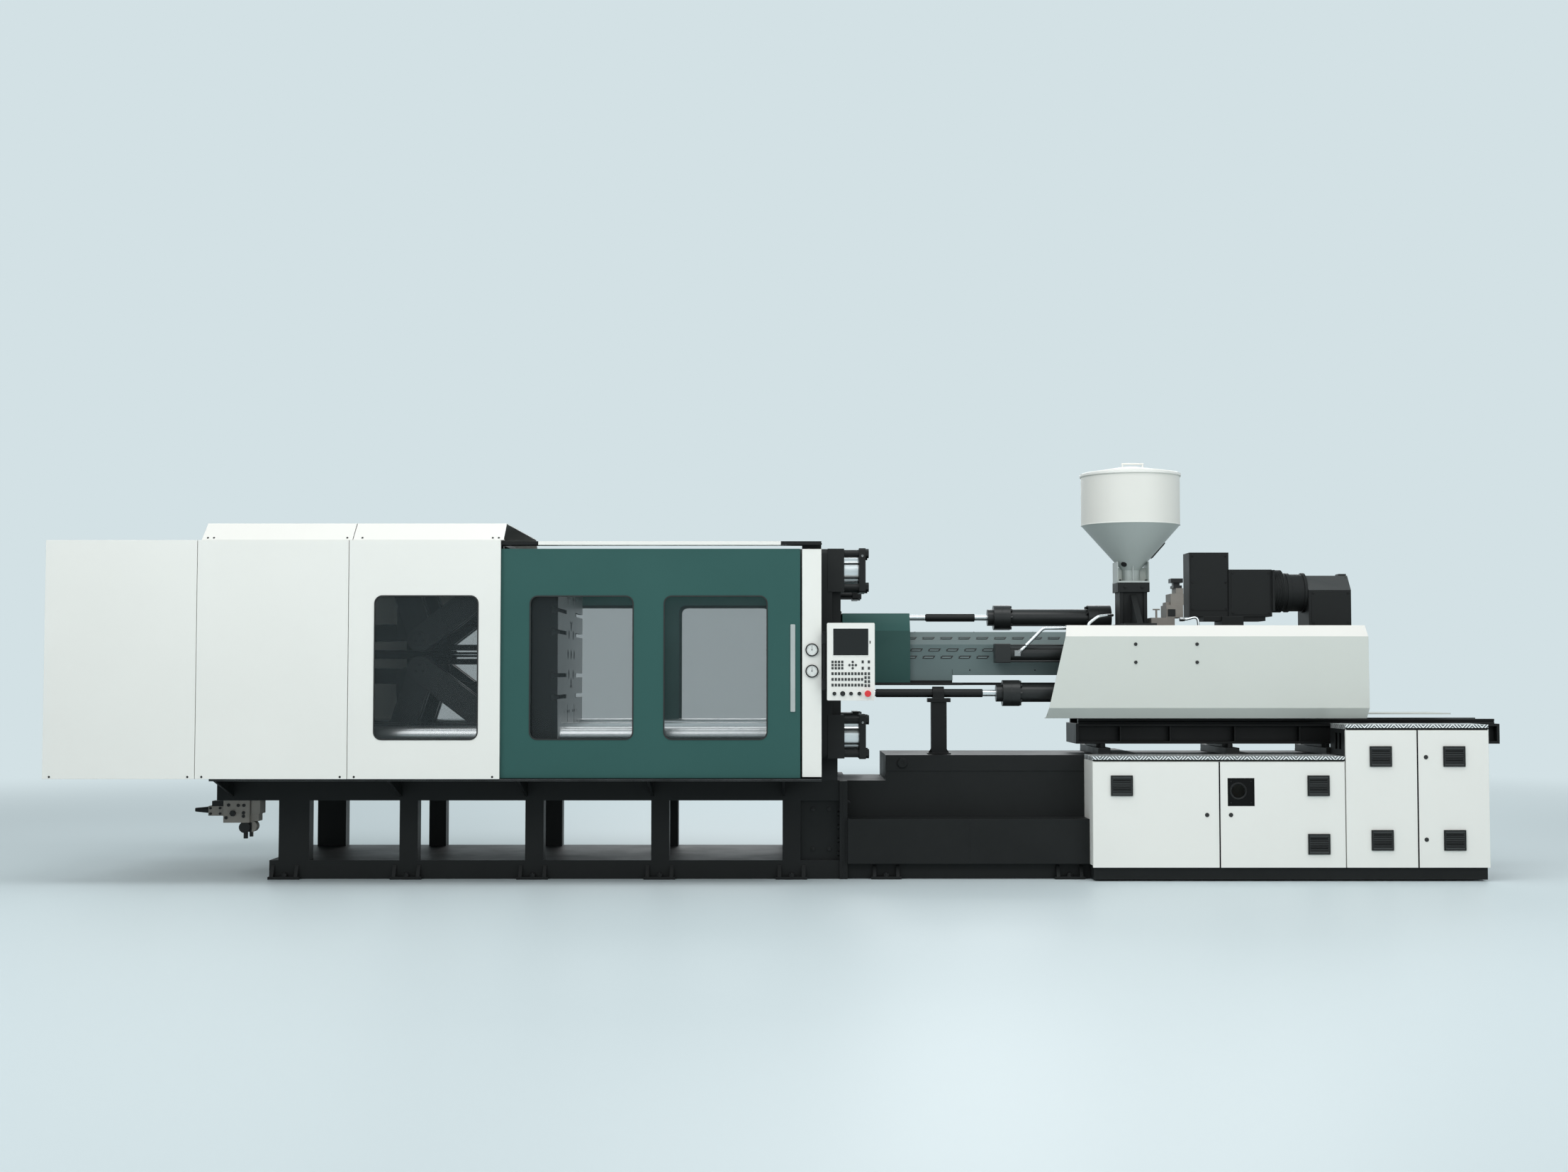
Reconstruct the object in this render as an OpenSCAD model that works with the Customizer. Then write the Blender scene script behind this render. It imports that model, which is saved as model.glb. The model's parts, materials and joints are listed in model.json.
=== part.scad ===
// Horizontal injection moulding machine with a five-point toggle clamp.
// X runs from the clamp end to the injection end, Y from front to back, Z up.
// The origin lies on the floor, in the middle of the length, under the centre line.

/* [Machine] */
// Height of the clamping and injection axis above the floor
axis_h = 1530; // [1500:5:1560]
// Distance of the top face of the clamp bed below the axis
bed_drop = 862; // [856:2:880]
// Width of the clamp bed across its beams
bed_w = 1240; // [1200:10:1280]
// Left end of the clamp bed
bed_left = -3940; // [-3980:10:-3900]
// Height of the floor sill under the beds
sill_h = 126; // [110:2:140]
// Depth of the long beams at the top of the clamp bed
beam_h = 137; // [120:1:150]
// Width of each beam, sill and leg across the machine
beam_w = 120; // [100:5:140]
// Plate thickness of the welded bed parts
bed_plate = 20; // [12:1:30]

/* [Tie bars] */
// Diameter of the four tie bars
bar_d = 186; // [160:2:190]
// Distance of each tie bar from the centre line
bar_y = 640; // [630:5:650]
// Distance of each tie bar above or below the axis
bar_z = 562; // [550:2:566]
// Left end of the tie bars
bar_left = -4080; // [-4120:10:-4020]
// Radial clearance between a sliding part and its shaft
run_gap = 0.1; // [0.05:0.01:0.3]
// Radial clearance between a platen and its tie bars
bar_gap = 0.3; // [0.2:0.05:0.5]

/* [Platens] */
// Half of the width of both platens
platen_half_w = 782; // [775:1:795]
// Half of the height of both platens
platen_half_h = 708; // [700:1:715]
// Thickness of the fixed platen
fixed_t = 352; // [320:4:380]
// Mould face of the fixed platen
fixed_face = -45; // [-60:5:-30]
// Mould face of the moving platen when the clamp is open
moving_face = -1600; // [-1640:10:-1560]
// Thickness of the moving platen without its lugs
moving_t = 236; // [200:4:250]
// Width of a mould clamping slot at the face
slot_w = 28; // [22:1:36]
// Depth of a mould clamping slot
slot_depth = 48; // [40:1:60]
// Spacing of the level mould slots
slot_pitch = 147; // [130:1:150]
// Diameter of the locating ring bore
locating_d = 250; // [200:10:280]
// Depth of the locating ring bore
locating_depth = 40; // [25:5:60]
// Diameter of a knock-out hole
knock_d = 50; // [40:2:60]
// Radius of the ring of knock-out holes
knock_r = 200; // [180:5:220]

/* [Toggle] */
// Distance of the outer toggle pins above or below the axis
pin_h = 600; // [590:2:606]
// Distance of the folded elbow pins above or below the axis
elbow_h = 105; // [100:1:130]
// Slope of the front links when the clamp is open
front_slope = 37.2; // [36:0.2:39]
// Slope of the rear links when the clamp is open
rear_slope = 72; // [70:0.5:74]
// Distance of the pin in the moving platen from its mould face
platen_pin_back = 347; // [340:1:360]
// Diameter of the toggle pins
pin_d = 90; // [70:2:100]
// Radius of the round link ends
link_r = 88; // [80:1:95]
// Thickness of each link plate
link_t = 44; // [36:1:46]
// Distance from one link plate to the next
link_pitch = 50; // [48:1:54]
// Outer side of the outermost link plate
link_out = 452; // [440:1:470]
// Distance of the crosshead pins above or below the axis
cross_h = 150; // [145:1:160]
// Length of a crosshead link between its pins
cross_len = 360; // [355:1:380]
// Distance of the rear link ear along the link
ear_along = 430; // [420:1:440]
// Distance of the rear link ear from the link towards the axis
ear_in = 110; // [105:1:118]
// Diameter of the crosshead pins
cross_pin_d = 64; // [50:2:70]
// Radius of the round ends of the crosshead links
cross_r = 58; // [52:1:62]
// Diameter of the guide rods of the crosshead
guide_d = 60; // [50:2:66]
// Distance of each guide rod from the centre line
guide_y = 118; // [112:1:124]

/* [Clamp cylinder] */
// Front face of the tail stock
tail_front = -3210; // [-3230:5:-3200]
// Thickness of the tail stock
tail_t = 350; // [320:5:380]
// Outer diameter of the clamp cylinder
clamp_cyl_d = 300; // [260:10:320]
// Bore of the clamp cylinder
clamp_bore = 240; // [200:5:250]
// Length of the clamp cylinder tube
clamp_cyl_len = 1130; // [1100:10:1180]
// Diameter of the piston rod
clamp_rod_d = 120; // [100:5:140]
// Outer diameter of the die height nuts
nut_d = 330; // [300:5:340]

/* [Guards] */
// Front face of the fixed white cover, from the centre line
guard_y = 1130; // [1120:2:1140]
// Left end of the white cover
guard_left = -4942; // [-4960:2:-4930]
// Width of one cover panel with its joint
panel_w = 999; // [990:1:1000]
// Gap between two cover panels
panel_gap = 4; // [2:0.5:8]
// Distance of the bottom edge of the guards below the axis
guard_drop = 828; // [824:1:832]
// Distance of the top edge of the white cover above the axis
guard_rise = 742; // [736:1:750]
// Thickness of the cover sheets
sheet = 4; // [3:0.5:5]
// Depth of the folded edges of the cover panels
fold = 22; // [15:1:24]
// Left edge of the sliding door when closed
door_left = -1985; // [-1995:1:-1975]
// Right edge of the sliding door when closed
door_right = 29; // [20:1:34]
// Distance of the top edge of the sliding door above the axis
door_rise = 687; // [670:1:688]
// Thickness of the sliding door
door_t = 40; // [30:1:42]
// Gap between the cover folds and the door
door_gap = 8; // [5:1:12]
// Width of each window opening
win_w = 676; // [640:2:690]
// Height of each window opening
win_h = 940; // [900:5:960]
// Distance of the bottom edge of the windows below the axis
win_drop = 568; // [555:1:580]
// Corner radius of the windows
win_r = 48; // [30:1:60]
// Thickness of the clear panes
pane_t = 6; // [5:1:10]
// Overlap of a pane on the sheet round its window
pane_lap = 16; // [10:1:20]
// Height of the raised roof above the white cover
roof_rise = 121; // [110:1:138]
// Left end of the raised roof
roof_left = -3917; // [-3930:1:-3900]
// Right end of the raised roof
roof_right = -1926; // [-1935:1:-1920]

/* [Control panel] */
// Left edge of the control panel
ctrl_left = 204; // [200:1:210]
// Width of the control panel
ctrl_w = 313; // [300:1:330]
// Height of the control panel
ctrl_h = 508; // [500:1:540]
// Distance of the bottom edge of the control panel below the axis
ctrl_drop = 313; // [300:1:330]
// Thickness of the control panel
ctrl_t = 50; // [40:1:60]
// Front face of the control panel, from the centre line
ctrl_y = 1166; // [1160:1:1180]
// Height of the row of buttons on the panel
button_h = 45; // [40:1:50]
// Spacing of the buttons
button_pitch = 54.5; // [50:0.5:56]
// Diameter of the push buttons
button_d = 24; // [20:1:28]

/* [Injection bed] */
// Distance of the top face of the injection bed below the axis
inj_drop = 698; // [692:1:704]
// Depth of the low step beside the fixed platen below that top face
step_drop = 175; // [170:1:192]
// Joint face between the two beds
joint_x = 320; // [316:1:330]
// Left face of the high part of the injection bed
high_x = 625; // [610:1:640]
// Right end of the injection bed
inj_right = 4610; // [4590:5:4640]
// Half of the width of the injection bed body
inj_half_w = 430; // [420:1:440]
// Front face of the tray along the injection bed
tray_y = 670; // [650:1:690]
// Depth of the top edge of that tray below the top of the bed
tray_drop = 423; // [414:1:432]

/* [Cabinets] */
// Front face of the cabinet doors, from the centre line
cab_y = 800; // [790:1:815]
// Left side of the low cabinet
cab_left = 1996; // [1990:1:2010]
// Joint between the low and the tall cabinet
cab_split = 3698; // [3690:1:3710]
// Right side of the tall cabinet
cab_right = 4664; // [4650:1:4680]
// Height of the top of the low cabinet above the injection bed
low_rise = 6; // [2:1:12]
// Height of the top of the tall cabinet above the injection bed
tall_rise = 219; // [208:1:230]
// Bottom edge of the cabinet doors
cab_low = 93; // [90:1:100]
// Thickness of the cabinet doors
cab_door_t = 20; // [16:1:24]
// Depth of the galvanised top strip
strip_h = 32; // [26:1:36]
// Width of the air filter covers
filter_w = 146; // [130:1:150]
// Height of the air filter covers
filter_h = 136; // [120:1:140]
// How far the filter covers stand out
filter_out = 12; // [8:1:12]

/* [Injection unit] */
// Half of the width of the sled base
sled_half_w = 240; // [230:1:250]
// Left end of the sled base
sled_left = 1970; // [1960:1:1980]
// Right end of the sled base
sled_right = 4942; // [4930:1:4960]
// Gap between the injection bed and the sled base
sled_gap = 71; // [66:1:76]
// Height of the sled base
sled_h = 140; // [135:1:143]
// Height of the linear rails
rail_rise = 34; // [31:1:37]
// Distance of each carriage cylinder from the centre line
pull_y = 280; // [278:1:290]
// Distance of each carriage cylinder above or below the axis
pull_z = 272; // [270:1:280]
// Diameter of the carriage rods
pull_rod_d = 45; // [40:1:48]
// Diameter of the sleeves on the carriage rods
pull_sleeve_d = 58; // [54:1:60]
// Diameter of the carriage cylinder tubes
pull_tube_d = 125; // [115:1:130]
// Diameter of the carriage cylinder flanges
pull_flange_d = 182; // [175:1:186]
// Diameter of the barrel
barrel_d = 170; // [160:1:180]
// Bore of the barrel
barrel_bore = 90; // [80:1:95]
// Diameter of the heater bands
band_d = 204; // [196:1:208]
// Half of the width of the barrel cover
bc_half_w = 168; // [160:1:172]
// Half of the width of the purge guard
purge_half_w = 235; // [228:1:240]
// Left end of the purge guard
purge_left = 334; // [332:1:340]
// Length of the purge guard
purge_len = 475; // [460:1:480]
// Front face of the injection cover, from the centre line
icover_y = 500; // [490:1:510]
// Centre of the hopper along the machine
hopper_x = 2406; // [2402:1:2412]
// Outer diameter of the hopper
hopper_d = 700; // [680:2:720]
// Wall of the hopper
hopper_wall = 4; // [3:0.5:6]

/* [Hidden] */
$fn = 48;

// Colours as in the picture
white = "#E8EBE5";
dark = "#2A2B2B";
green = "#365A57";
chrome = "#C9CCCE";
grey = "#6B7A7B";
steel = "#8E9294";
black = "#151616";
glass = "#5F7274";
zinc = "#B9BDBE";

// Heights, all from the axis
bed_top = axis_h - bed_drop;
guard_low = axis_h - guard_drop;
guard_high = axis_h + guard_rise;
door_high = axis_h + door_rise;
win_low = axis_h - win_drop;
roof_high = guard_high + roof_rise;
ctrl_low = axis_h - ctrl_drop;
inj_top = axis_h - inj_drop;
step_top = inj_top - step_drop;
tray_top = inj_top - tray_drop;
low_top = inj_top + low_rise;
tall_top = inj_top + tall_rise;
sled_low = inj_top + sled_gap;
sled_top = sled_low + sled_h;
rail_top = sled_top + rail_rise;
guide_top = axis_h - 199;
feed_top = axis_h + 216;
throat_top = axis_h + 444;
cone_low = throat_top + 157;
cone_high = throat_top + 482;
rim_h = throat_top + 838;

// Toggle geometry, all from the pins, the elbow and the two slopes
fold_h = pin_h - elbow_h;
rear_len = fold_h / sin(rear_slope);
front_len = fold_h / sin(front_slope);
pin_c = moving_face - platen_pin_back;
pin_b = pin_c - front_len * cos(front_slope);
pin_a = pin_b - rear_len * cos(rear_slope);
ear_x = pin_a + ear_along * cos(rear_slope) - ear_in * sin(rear_slope);
ear_h = pin_h - ear_along * sin(rear_slope) - ear_in * cos(rear_slope);
pin_p = ear_x - sqrt(cross_len * cross_len - pow(ear_h - cross_h, 2));
eject_back = moving_face - moving_t - 764;
cross_travel = pin_a + ear_along - sqrt(cross_len * cross_len - pow(pin_h - ear_in - cross_h, 2)) - pin_p;
stroke = pin_a + rear_len + front_len - pin_c;

// Widths of the link planes, counted from the outside
function plane(n) = link_out - link_t - n * link_pitch;
link_x_t = link_t - 8;
plane_x = link_out - 4 * link_pitch - link_x_t;
plane_k = plane_x - link_pitch + 4;

shoe_gap = 0.3;
wear_t = 12;
base_top = sill_h - 20;
eject_stroke = 200;
inject_stroke = 400;
cover_t = 3;
platen_low = axis_h - platen_half_h;
inner_y = guard_y - fold - sheet - door_gap;
fold_y = guard_y - fold;
post_y = inner_y - door_t;
win_left = -2769;
bolt_sq = 114;

// Rounded rectangle with exact arcs, from its lower left corner
module rounded(w, h, r) {
  translate([r, 0]) square([w - 2 * r, h]);
  translate([0, r]) square([w, h - 2 * r]);
  for (x = [r, w - r], y = [r, h - r]) translate([x, y]) circle(r);
}

// Flat shape in X and Z, given a thickness in Y
module along_y(y, t) {
  translate([0, y + t, 0]) rotate([90, 0, 0]) linear_extrude(t) children();
}

// Flat shape in Y and Z, given a thickness in X
module along_x(x, t) {
  translate([x, 0, 0]) rotate([90, 0, 90]) linear_extrude(t) children();
}

// Round bar along X
module bar_x(x0, x1, y, z, d) {
  translate([x0, y, z]) rotate([0, 90, 0]) cylinder(h = x1 - x0, d = d);
}

// Round bar along Y
module bar_y(x, y0, y1, z, d) {
  translate([x, y1, z]) rotate([90, 0, 0]) cylinder(h = y1 - y0, d = d);
}

// Box between two corners
module block(x0, x1, y0, y1, z0, z1) {
  translate([x0, y0, z0]) cube([x1 - x0, y1 - y0, z1 - z0]);
}

// Hexagon bolt head along X
module head_x(x, y, z, w, t) {
  translate([x, y, z]) rotate([0, 90, 0]) cylinder(h = t, d = w / cos(30), $fn = 6);
}

// Puts its children at the four tie bars
module at_bars() {
  for (sy = [-1, 1], sz = [-1, 1]) translate([0, sy * bar_y, axis_h + sz * bar_z]) children();
}

// Outline of a link between two points with round ends
module link_2d(p, q, r) {
  d = q - p;
  n = [-d[1], d[0]] / norm(d) * r;
  polygon([p + n, q + n, q - n, p - n]);
  translate(p) circle(r);
  translate(q) circle(r);
}

// Children above the axis, or mirrored below it
module half(upper) {
  translate([0, 0, axis_h]) mirror([0, 0, upper ? 0 : 1]) children();
}

// Children at both sides of the centre line
module both() {
  children();
  mirror([0, 1, 0]) children();
}

// Mould clamping slot with an undercut, open at its end, along Y from y0 to y1
module slot_y(face, side, y0, y1, z) {
  neck = slot_depth - 18;
  block(min(face, face + side * neck), max(face, face + side * neck), y0, y1, z - slot_w / 2, z + slot_w / 2);
  a = face + side * (neck - 2);
  b = face + side * slot_depth;
  block(min(a, b), max(a, b), y0, y1, z - slot_w * 0.82, z + slot_w * 0.82);
}

// The same slot along Z
module slot_z(face, side, y, z0, z1) {
  neck = slot_depth - 18;
  block(min(face, face + side * neck), max(face, face + side * neck), y - slot_w / 2, y + slot_w / 2, z0, z1);
  a = face + side * (neck - 2);
  b = face + side * slot_depth;
  block(min(a, b), max(a, b), y - slot_w * 0.82, y + slot_w * 0.82, z0, z1);
}

// All mould slots and tapped holes of one platen face
module face_cuts(face, side) {
  reach = platen_half_w + 5;
  for (n = [-2, -1, 1, 2], s = [-1, 1])
    slot_y(face, side, s > 0 ? 280 : -reach, s > 0 ? reach : -280, axis_h + n * slot_pitch);
  top = platen_half_h + 5;
  for (y = [-210, 210], s = [-1, 1])
    slot_z(face, side, y, axis_h + (s > 0 ? 2 * slot_pitch + 60 : -top), axis_h + (s > 0 ? top : -2 * slot_pitch - 60));
  for (y = [-420, 420], z = [-480, -400, 400, 480])
    bar_x(min(face, face + side * 40) - 1, max(face, face + side * 40) + 1, y, axis_h + z, 20);
}

// Footing plate with two gussets in front of the sill
module footing(x, w, y, s) {
  block(x - w / 2, x + w / 2, min(y, y - s * 60), max(y, y - s * 60), 0, 18);
  for (g = [x - w / 2 + 12, x + w / 2 - 36])
    along_x(g, 24) polygon([[y, 18], [y - s * 54, 18], [y - s * 14, 92], [y, 92]]);
}

foot_list = [-3470, -2642, -1785, -923, -27];
inj_foot_list = [616, 1863, 3085, 4500];
leg_x = [-3516, -2694, -1839, -982, -88];
leg_w = [208, 124, 125, 123, 121];

module clamp_bed() {
  color(dark) {
    half_w = bed_w / 2;
    sill_left = leg_x[0] - 62;
    beam_low = bed_top - beam_h;
    difference() {
      union() {
        both() {
          block(bed_left, joint_x - bed_plate, half_w - beam_w, half_w, beam_low, bed_top);
          block(sill_left, joint_x - bed_plate, half_w - beam_w, half_w, 0, sill_h);
          for (i = [0 : len(leg_x) - 1])
            block(leg_x[i], leg_x[i] + leg_w[i], half_w - beam_w, half_w, sill_h, beam_low);
          block(leg_x[4] + leg_w[4], joint_x - bed_plate, half_w - beam_w / 2, half_w - beam_w / 2 + bed_plate, sill_h, beam_low);
          for (x = foot_list) footing(x, 212, half_w - 6, -1);
          block(bed_left + 60, fixed_face - 160, half_w - beam_w + 10, half_w - 10, bed_top, bed_top + wear_t);
        }
        block(sill_left, joint_x - bed_plate, -half_w + beam_w, half_w - beam_w, sill_h - bed_plate, sill_h);
        for (x = [bed_left, leg_x[1], leg_x[2], leg_x[3]])
          block(x, x + 110, -half_w + beam_w, half_w - beam_w, beam_low, bed_top - 20);
        block(leg_x[4], joint_x - bed_plate, -half_w + beam_w, half_w - beam_w, beam_low, bed_top);
        along_x(joint_x - bed_plate, bed_plate) difference() {
          translate([-half_w - 20, 0]) square([bed_w + 40, bed_top - 4]);
          translate([-half_w + beam_w, sill_h]) square([bed_w - 2 * beam_w, beam_low - sill_h]);
        }
      }
      for (s = [-1, 1], z = [170, 260, 350, 440])
        bar_x(joint_x - bed_plate - 1, joint_x + 1, s * (half_w - 30), z, 22);
    }
    both() for (z = [170, 260, 350, 440]) head_x(joint_x - bed_plate - 14, half_w - 30, z, 30, 14);
  }
}

module tie_bars() {
  color(chrome) at_bars() {
    bar_x(bar_left, fixed_face + fixed_t + 120, 0, 0, bar_d);
    translate([bar_left - 10, 0, 0]) rotate([0, 90, 0]) cylinder(h = 10, d1 = bar_d - 16, d2 = bar_d);
  }
}

module fixed_platen() {
  back = fixed_face + fixed_t;
  color(dark) difference() {
    union() {
      along_x(fixed_face, fixed_t - 60) translate([-platen_half_w, platen_low])
        rounded(2 * platen_half_w, 2 * platen_half_h, 36);
      along_x(back - 61, 61) translate([-platen_half_w + 60, platen_low + 22])
        rounded(2 * platen_half_w - 120, 2 * platen_half_h - 44, 60);
      at_bars() block(back - 90, back + 22, -146, 146, -146, 146);
      both() block(fixed_face + 30, back - 20, 470, bed_w / 2, bed_top, platen_low + 60);
    }
    at_bars() bar_x(fixed_face - 1, back + 30, 0, 0, bar_d);
    face_cuts(fixed_face, 1);
    bar_x(fixed_face - 1, fixed_face + locating_depth, 0, axis_h, locating_d);
    bar_x(fixed_face, back, 0, axis_h, 170);
    translate([back - 190, 0, axis_h]) rotate([0, 90, 0]) cylinder(h = 191, d1 = 190, d2 = 440);
    for (s = [-1, 1]) bar_x(back - 60, back + 1, -s * pull_y, axis_h - s * pull_z, pull_rod_d);
    at_bars() for (y = [-1, 1], z = [-1, 1]) bar_x(back - 40, back + 30, y * bolt_sq, z * bolt_sq, 36);
  }
}

module tie_bar_retainers() {
  back = fixed_face + fixed_t + 22;
  stand = 101;
  color(dark) at_bars() {
    difference() {
      along_x(back + stand, 44) translate([-150, -150]) rounded(300, 300, 14);
      for (y = [-1, 1], z = [-1, 1]) bar_x(back + stand - 1, back + stand + 45, y * bolt_sq, z * bolt_sq, 36);
      bar_x(back + stand - 1, back + stand + 45, 0, 0, 60);
    }
    for (y = [-1, 1], z = [-1, 1]) {
      difference() {
        bar_x(back, back + stand, y * bolt_sq, z * bolt_sq, 50);
        bar_x(back - 1, back + stand + 1, y * bolt_sq, z * bolt_sq, 36);
      }
      bar_x(back - 30, back + stand + 44, y * bolt_sq, z * bolt_sq, 36);
      head_x(back + stand + 44, y * bolt_sq, z * bolt_sq, 55, 22);
    }
  }
}

// Post behind the covers, clear of the sliding door
module frame_post(x, w, low) {
  both() block(x, x + w, -post_y + 12, -post_y + 62, low + shoe_gap, guard_high - 30 - shoe_gap);
}

// Bolted members, each a solid of its own with a fine joint to the next
module guard_frame() {
  g = shoe_gap;
  right = 169;
  base_left = -3851;
  corner = -3890;
  rail_y = post_y - 62;
  rail_low = guard_high - 30;
  top = guard_high - 6;
  low_bar = guard_low + 40;
  color(dark) {
    both() {
      block(base_left, right, -guard_y + 8, -bed_w / 2, guard_low - 15, guard_low);
      for (x = [-3840, leg_x[1], leg_x[2], leg_x[3], leg_x[4]])
        along_x(x, 16) polygon([[-bed_w / 2, bed_top - 110], [-bed_w / 2, guard_low - 15 - g], [-guard_y + 60, guard_low - 15 - g]]);
      block(guard_left + 6, right, -fold_y, -rail_y, rail_low, top);
      block(guard_left + 6, corner, -fold_y, -rail_y, guard_low, low_bar);
      block(corner + g, door_right, -inner_y + door_t / 2 - rail_w / 2, -inner_y + door_t / 2 + rail_w / 2, guard_low + g, guard_low + rail_h);
      block(42, right, -post_y, -rail_y, guard_low + g, rail_low - g);
      block(corner - 50, corner, -rail_y + g, -bed_w / 2 + beam_w, guard_low, low_bar);
      block(corner - 45, corner - 5, -bed_w / 2 + 10, -bed_w / 2 + beam_w - 10, bed_top, guard_low - g);
    }
    frame_post(guard_left + 8, 50, low_bar);
    frame_post(corner - 50, 50, low_bar);
    for (x = [-2966, -1990]) frame_post(x, 50, guard_low);
    for (x = [corner - 50, -2966, -1990]) block(x, x + 50, -rail_y + g, rail_y - g, rail_low, top);
    block(guard_left + 8, guard_left + 58, -rail_y + g, rail_y - g, guard_low, low_bar);
    block(-98, 172, -guard_y + 20, -fold_y + 1, rail_low, rail_low + 12);
    for (z = ctrl_arms) block(right + g, ctrl_left - 9, -ctrl_y + 12, -post_y + 40, z - 31, z + 31);
    translate([ctrl_left - 18, -ctrl_y + 25, ctrl_arms[1] - 39]) cylinder(h = ctrl_arms[0] - ctrl_arms[1] + 88, d = 16);
  }
}

// One white cover panel with folded edges, outer face towards the front
module cover_panel(x, w, window) {
  h = guard_high - guard_low;
  difference() {
    union() {
      along_y(-guard_y, sheet) translate([x, guard_low]) square([w, h]);
      along_y(-guard_y, fold) difference() {
        translate([x, guard_low]) square([w, h]);
        translate([x + sheet, guard_low + sheet]) square([w - 2 * sheet, h - 2 * sheet]);
      }
    }
    if (window)
      along_y(-guard_y - 1, sheet + 2) translate([win_left, win_low]) rounded(win_w, win_h, win_r);
  }
}

module cover_row() {
  for (i = [0 : 2])
    cover_panel(guard_left + i * panel_w + (i > 0 ? panel_gap / 2 : 0),
      panel_w - (i == 1 ? panel_gap : panel_gap / 2), i == 2);
}

module front_cover() {
  color(white) cover_row();
}

module rear_cover() {
  color(white) {
    mirror([0, 1, 0]) cover_row();
    along_x(guard_left, sheet) translate([-fold_y + shoe_gap, guard_low])
      square([2 * (fold_y - shoe_gap), guard_high - guard_low]);
  }
}

module cover_panes() {
  color(glass) both() along_y(-guard_y + sheet, pane_t)
    translate([win_left - pane_lap, win_low - pane_lap])
      rounded(win_w + 2 * pane_lap, win_h + 2 * pane_lap, win_r);
}

module roof_panel(x, w) {
  low = guard_high;
  out = guard_y - 6;
  in = out - 140;
  t = sheet;
  back = 570;
  along_x(x, w) polygon([
    [-out, low], [-out, low + 4], [-in, roof_high], [back, roof_high], [back + 70, roof_high - 60],
    [back + 70, low + 20], [out, low + 20], [out, low], [out - t, low], [out - t, low + 20 - t],
    [back + 70 - t, low + 20 - t], [back + 70 - t, roof_high - 60 - t / 2], [back - t / 2, roof_high - t],
    [-in + t / 2, roof_high - t], [-out + t + 3, low + t], [-out + 40, low + t], [-out + 40, low]]);
}

module roof_cover() {
  w = roof_right - roof_left;
  color(white) {
    roof_panel(roof_left, w / 2 - 2);
    roof_panel(roof_left + w / 2 + 2, w / 2 - 2);
  }
}

module post_covers() {
  color(white) both() difference() {
    along_y(-inner_y - 4, door_t + 4) translate([42, guard_low + 12]) rounded(127, door_high - guard_low - 14, 3);
    along_y(-inner_y - 4 + sheet, door_t + 4) translate([42 + sheet, guard_low + 12 + sheet])
      square([127 - 2 * sheet, door_high - guard_low - 14 - 2 * sheet]);
  }
}

module pressure_gauges() {
  face = -inner_y - 4;
  for (z = [axis_h + 19, axis_h - 121]) translate([106, face, z]) rotate([90, 0, 0]) {
    color(black) rotate_extrude() polygon([[0, 0], [43, 0], [43, 14], [38, 16], [36, 14], [36, 8], [0, 8]]);
    color(white) translate([0, 0, 8]) cylinder(h = 1.5, d = 71);
    color(black) translate([0, 0, 9.5]) cylinder(h = 2, d = 8);
    color(black) translate([-1, -4, 9.5]) cube([2, 30, 1]);
  }
}

module clamp_manifold() {
  y0 = -bed_w / 2 + 10;
  low = bed_top - beam_h;
  color(steel) {
    block(-3898, -3718, y0, y0 + 180, low - 152, low);
    block(-3718, -3708, y0 + 20, y0 + 160, low - 150, low);
    block(-3708, -3650, y0 + 10, y0 + 150, low - 92, low);
    block(-3712, -3662, y0 + 24, y0 + 120, low - 142, low - 92);
    block(-4006, -3898, y0 + 20, y0 + 110, low - 106, low - 40);
  }
  color(black) {
    for (x = [-3990, -3925], z = [low - 92, low - 54]) bar_y(x, y0 + 12, y0 + 20, z, 16);
    block(-3984, -3898, y0 + 30, y0 + 120, low - 40, low - 6);
    translate([-4106, y0 + 65, low - 68]) rotate([0, 90, 0]) cylinder(h = 100, d1 = 26, d2 = 46);
    translate([-3832, y0, low - 88]) rotate([90, 0, 0]) cylinder(h = 16, d = 42, $fn = 6);
    for (p = [[-3796, -34], [-3758, -34], [-3862, -32], [-3760, -84], [-3760, -108], [-3878, -118]])
      bar_y(p[0], y0 - 5, y0, low + p[1], 22);
    bar_y(-3756, y0 + 10, y0 + 90, low - 184, 76);
    translate([-3756, y0 + 50, low - 262]) cylinder(h = 50, d = 30);
    translate([-3720, y0 + 60, low - 250]) cylinder(h = 50, d = 26);
  }
  color(zinc) bar_y(-3716, y0 + 30, y0 + 100, low - 178, 80);
}

module injection_bed() {
  w = inj_half_w;
  color(dark) {
    along_y(-w, 2 * w) polygon([[joint_x + bed_plate, base_top], [joint_x + bed_plate, step_top],
      [high_x, step_top], [high_x, inj_top], [inj_right - 60, inj_top], [inj_right - 60, base_top]]);
    block(joint_x + bed_plate, inj_right, -bed_w / 2 + 20, bed_w / 2 - 20, 0, base_top);
    along_x(joint_x, bed_plate + 14) translate([-bed_w / 2 - 20, 0]) square([bed_w + 40, bed_top - 4]);
    for (x = inj_foot_list) both() footing(x, 206, bed_w / 2 - 20, -1);
    block(high_x, inj_right - 60, -w - 4, -w, inj_top - 110, inj_top);
    block(cab_left + 10, cab_right - 10, -cab_y + 30, -bed_w / 2 + 30, 10, base_top);
    bar_y(high_x + 114, -w - 10, -w, inj_top - 56, 74);
  }
}

module front_tray() {
  t = 6;
  x0 = joint_x + bed_plate + 14;
  x1 = cab_left - 2;
  color(dark) difference() {
    block(x0, x1, -tray_y, -inj_half_w, base_top, tray_top);
    block(x0 + t, x1 - t, -tray_y + t, -inj_half_w + 1, base_top + t, tray_top - t);
  }
}

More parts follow.
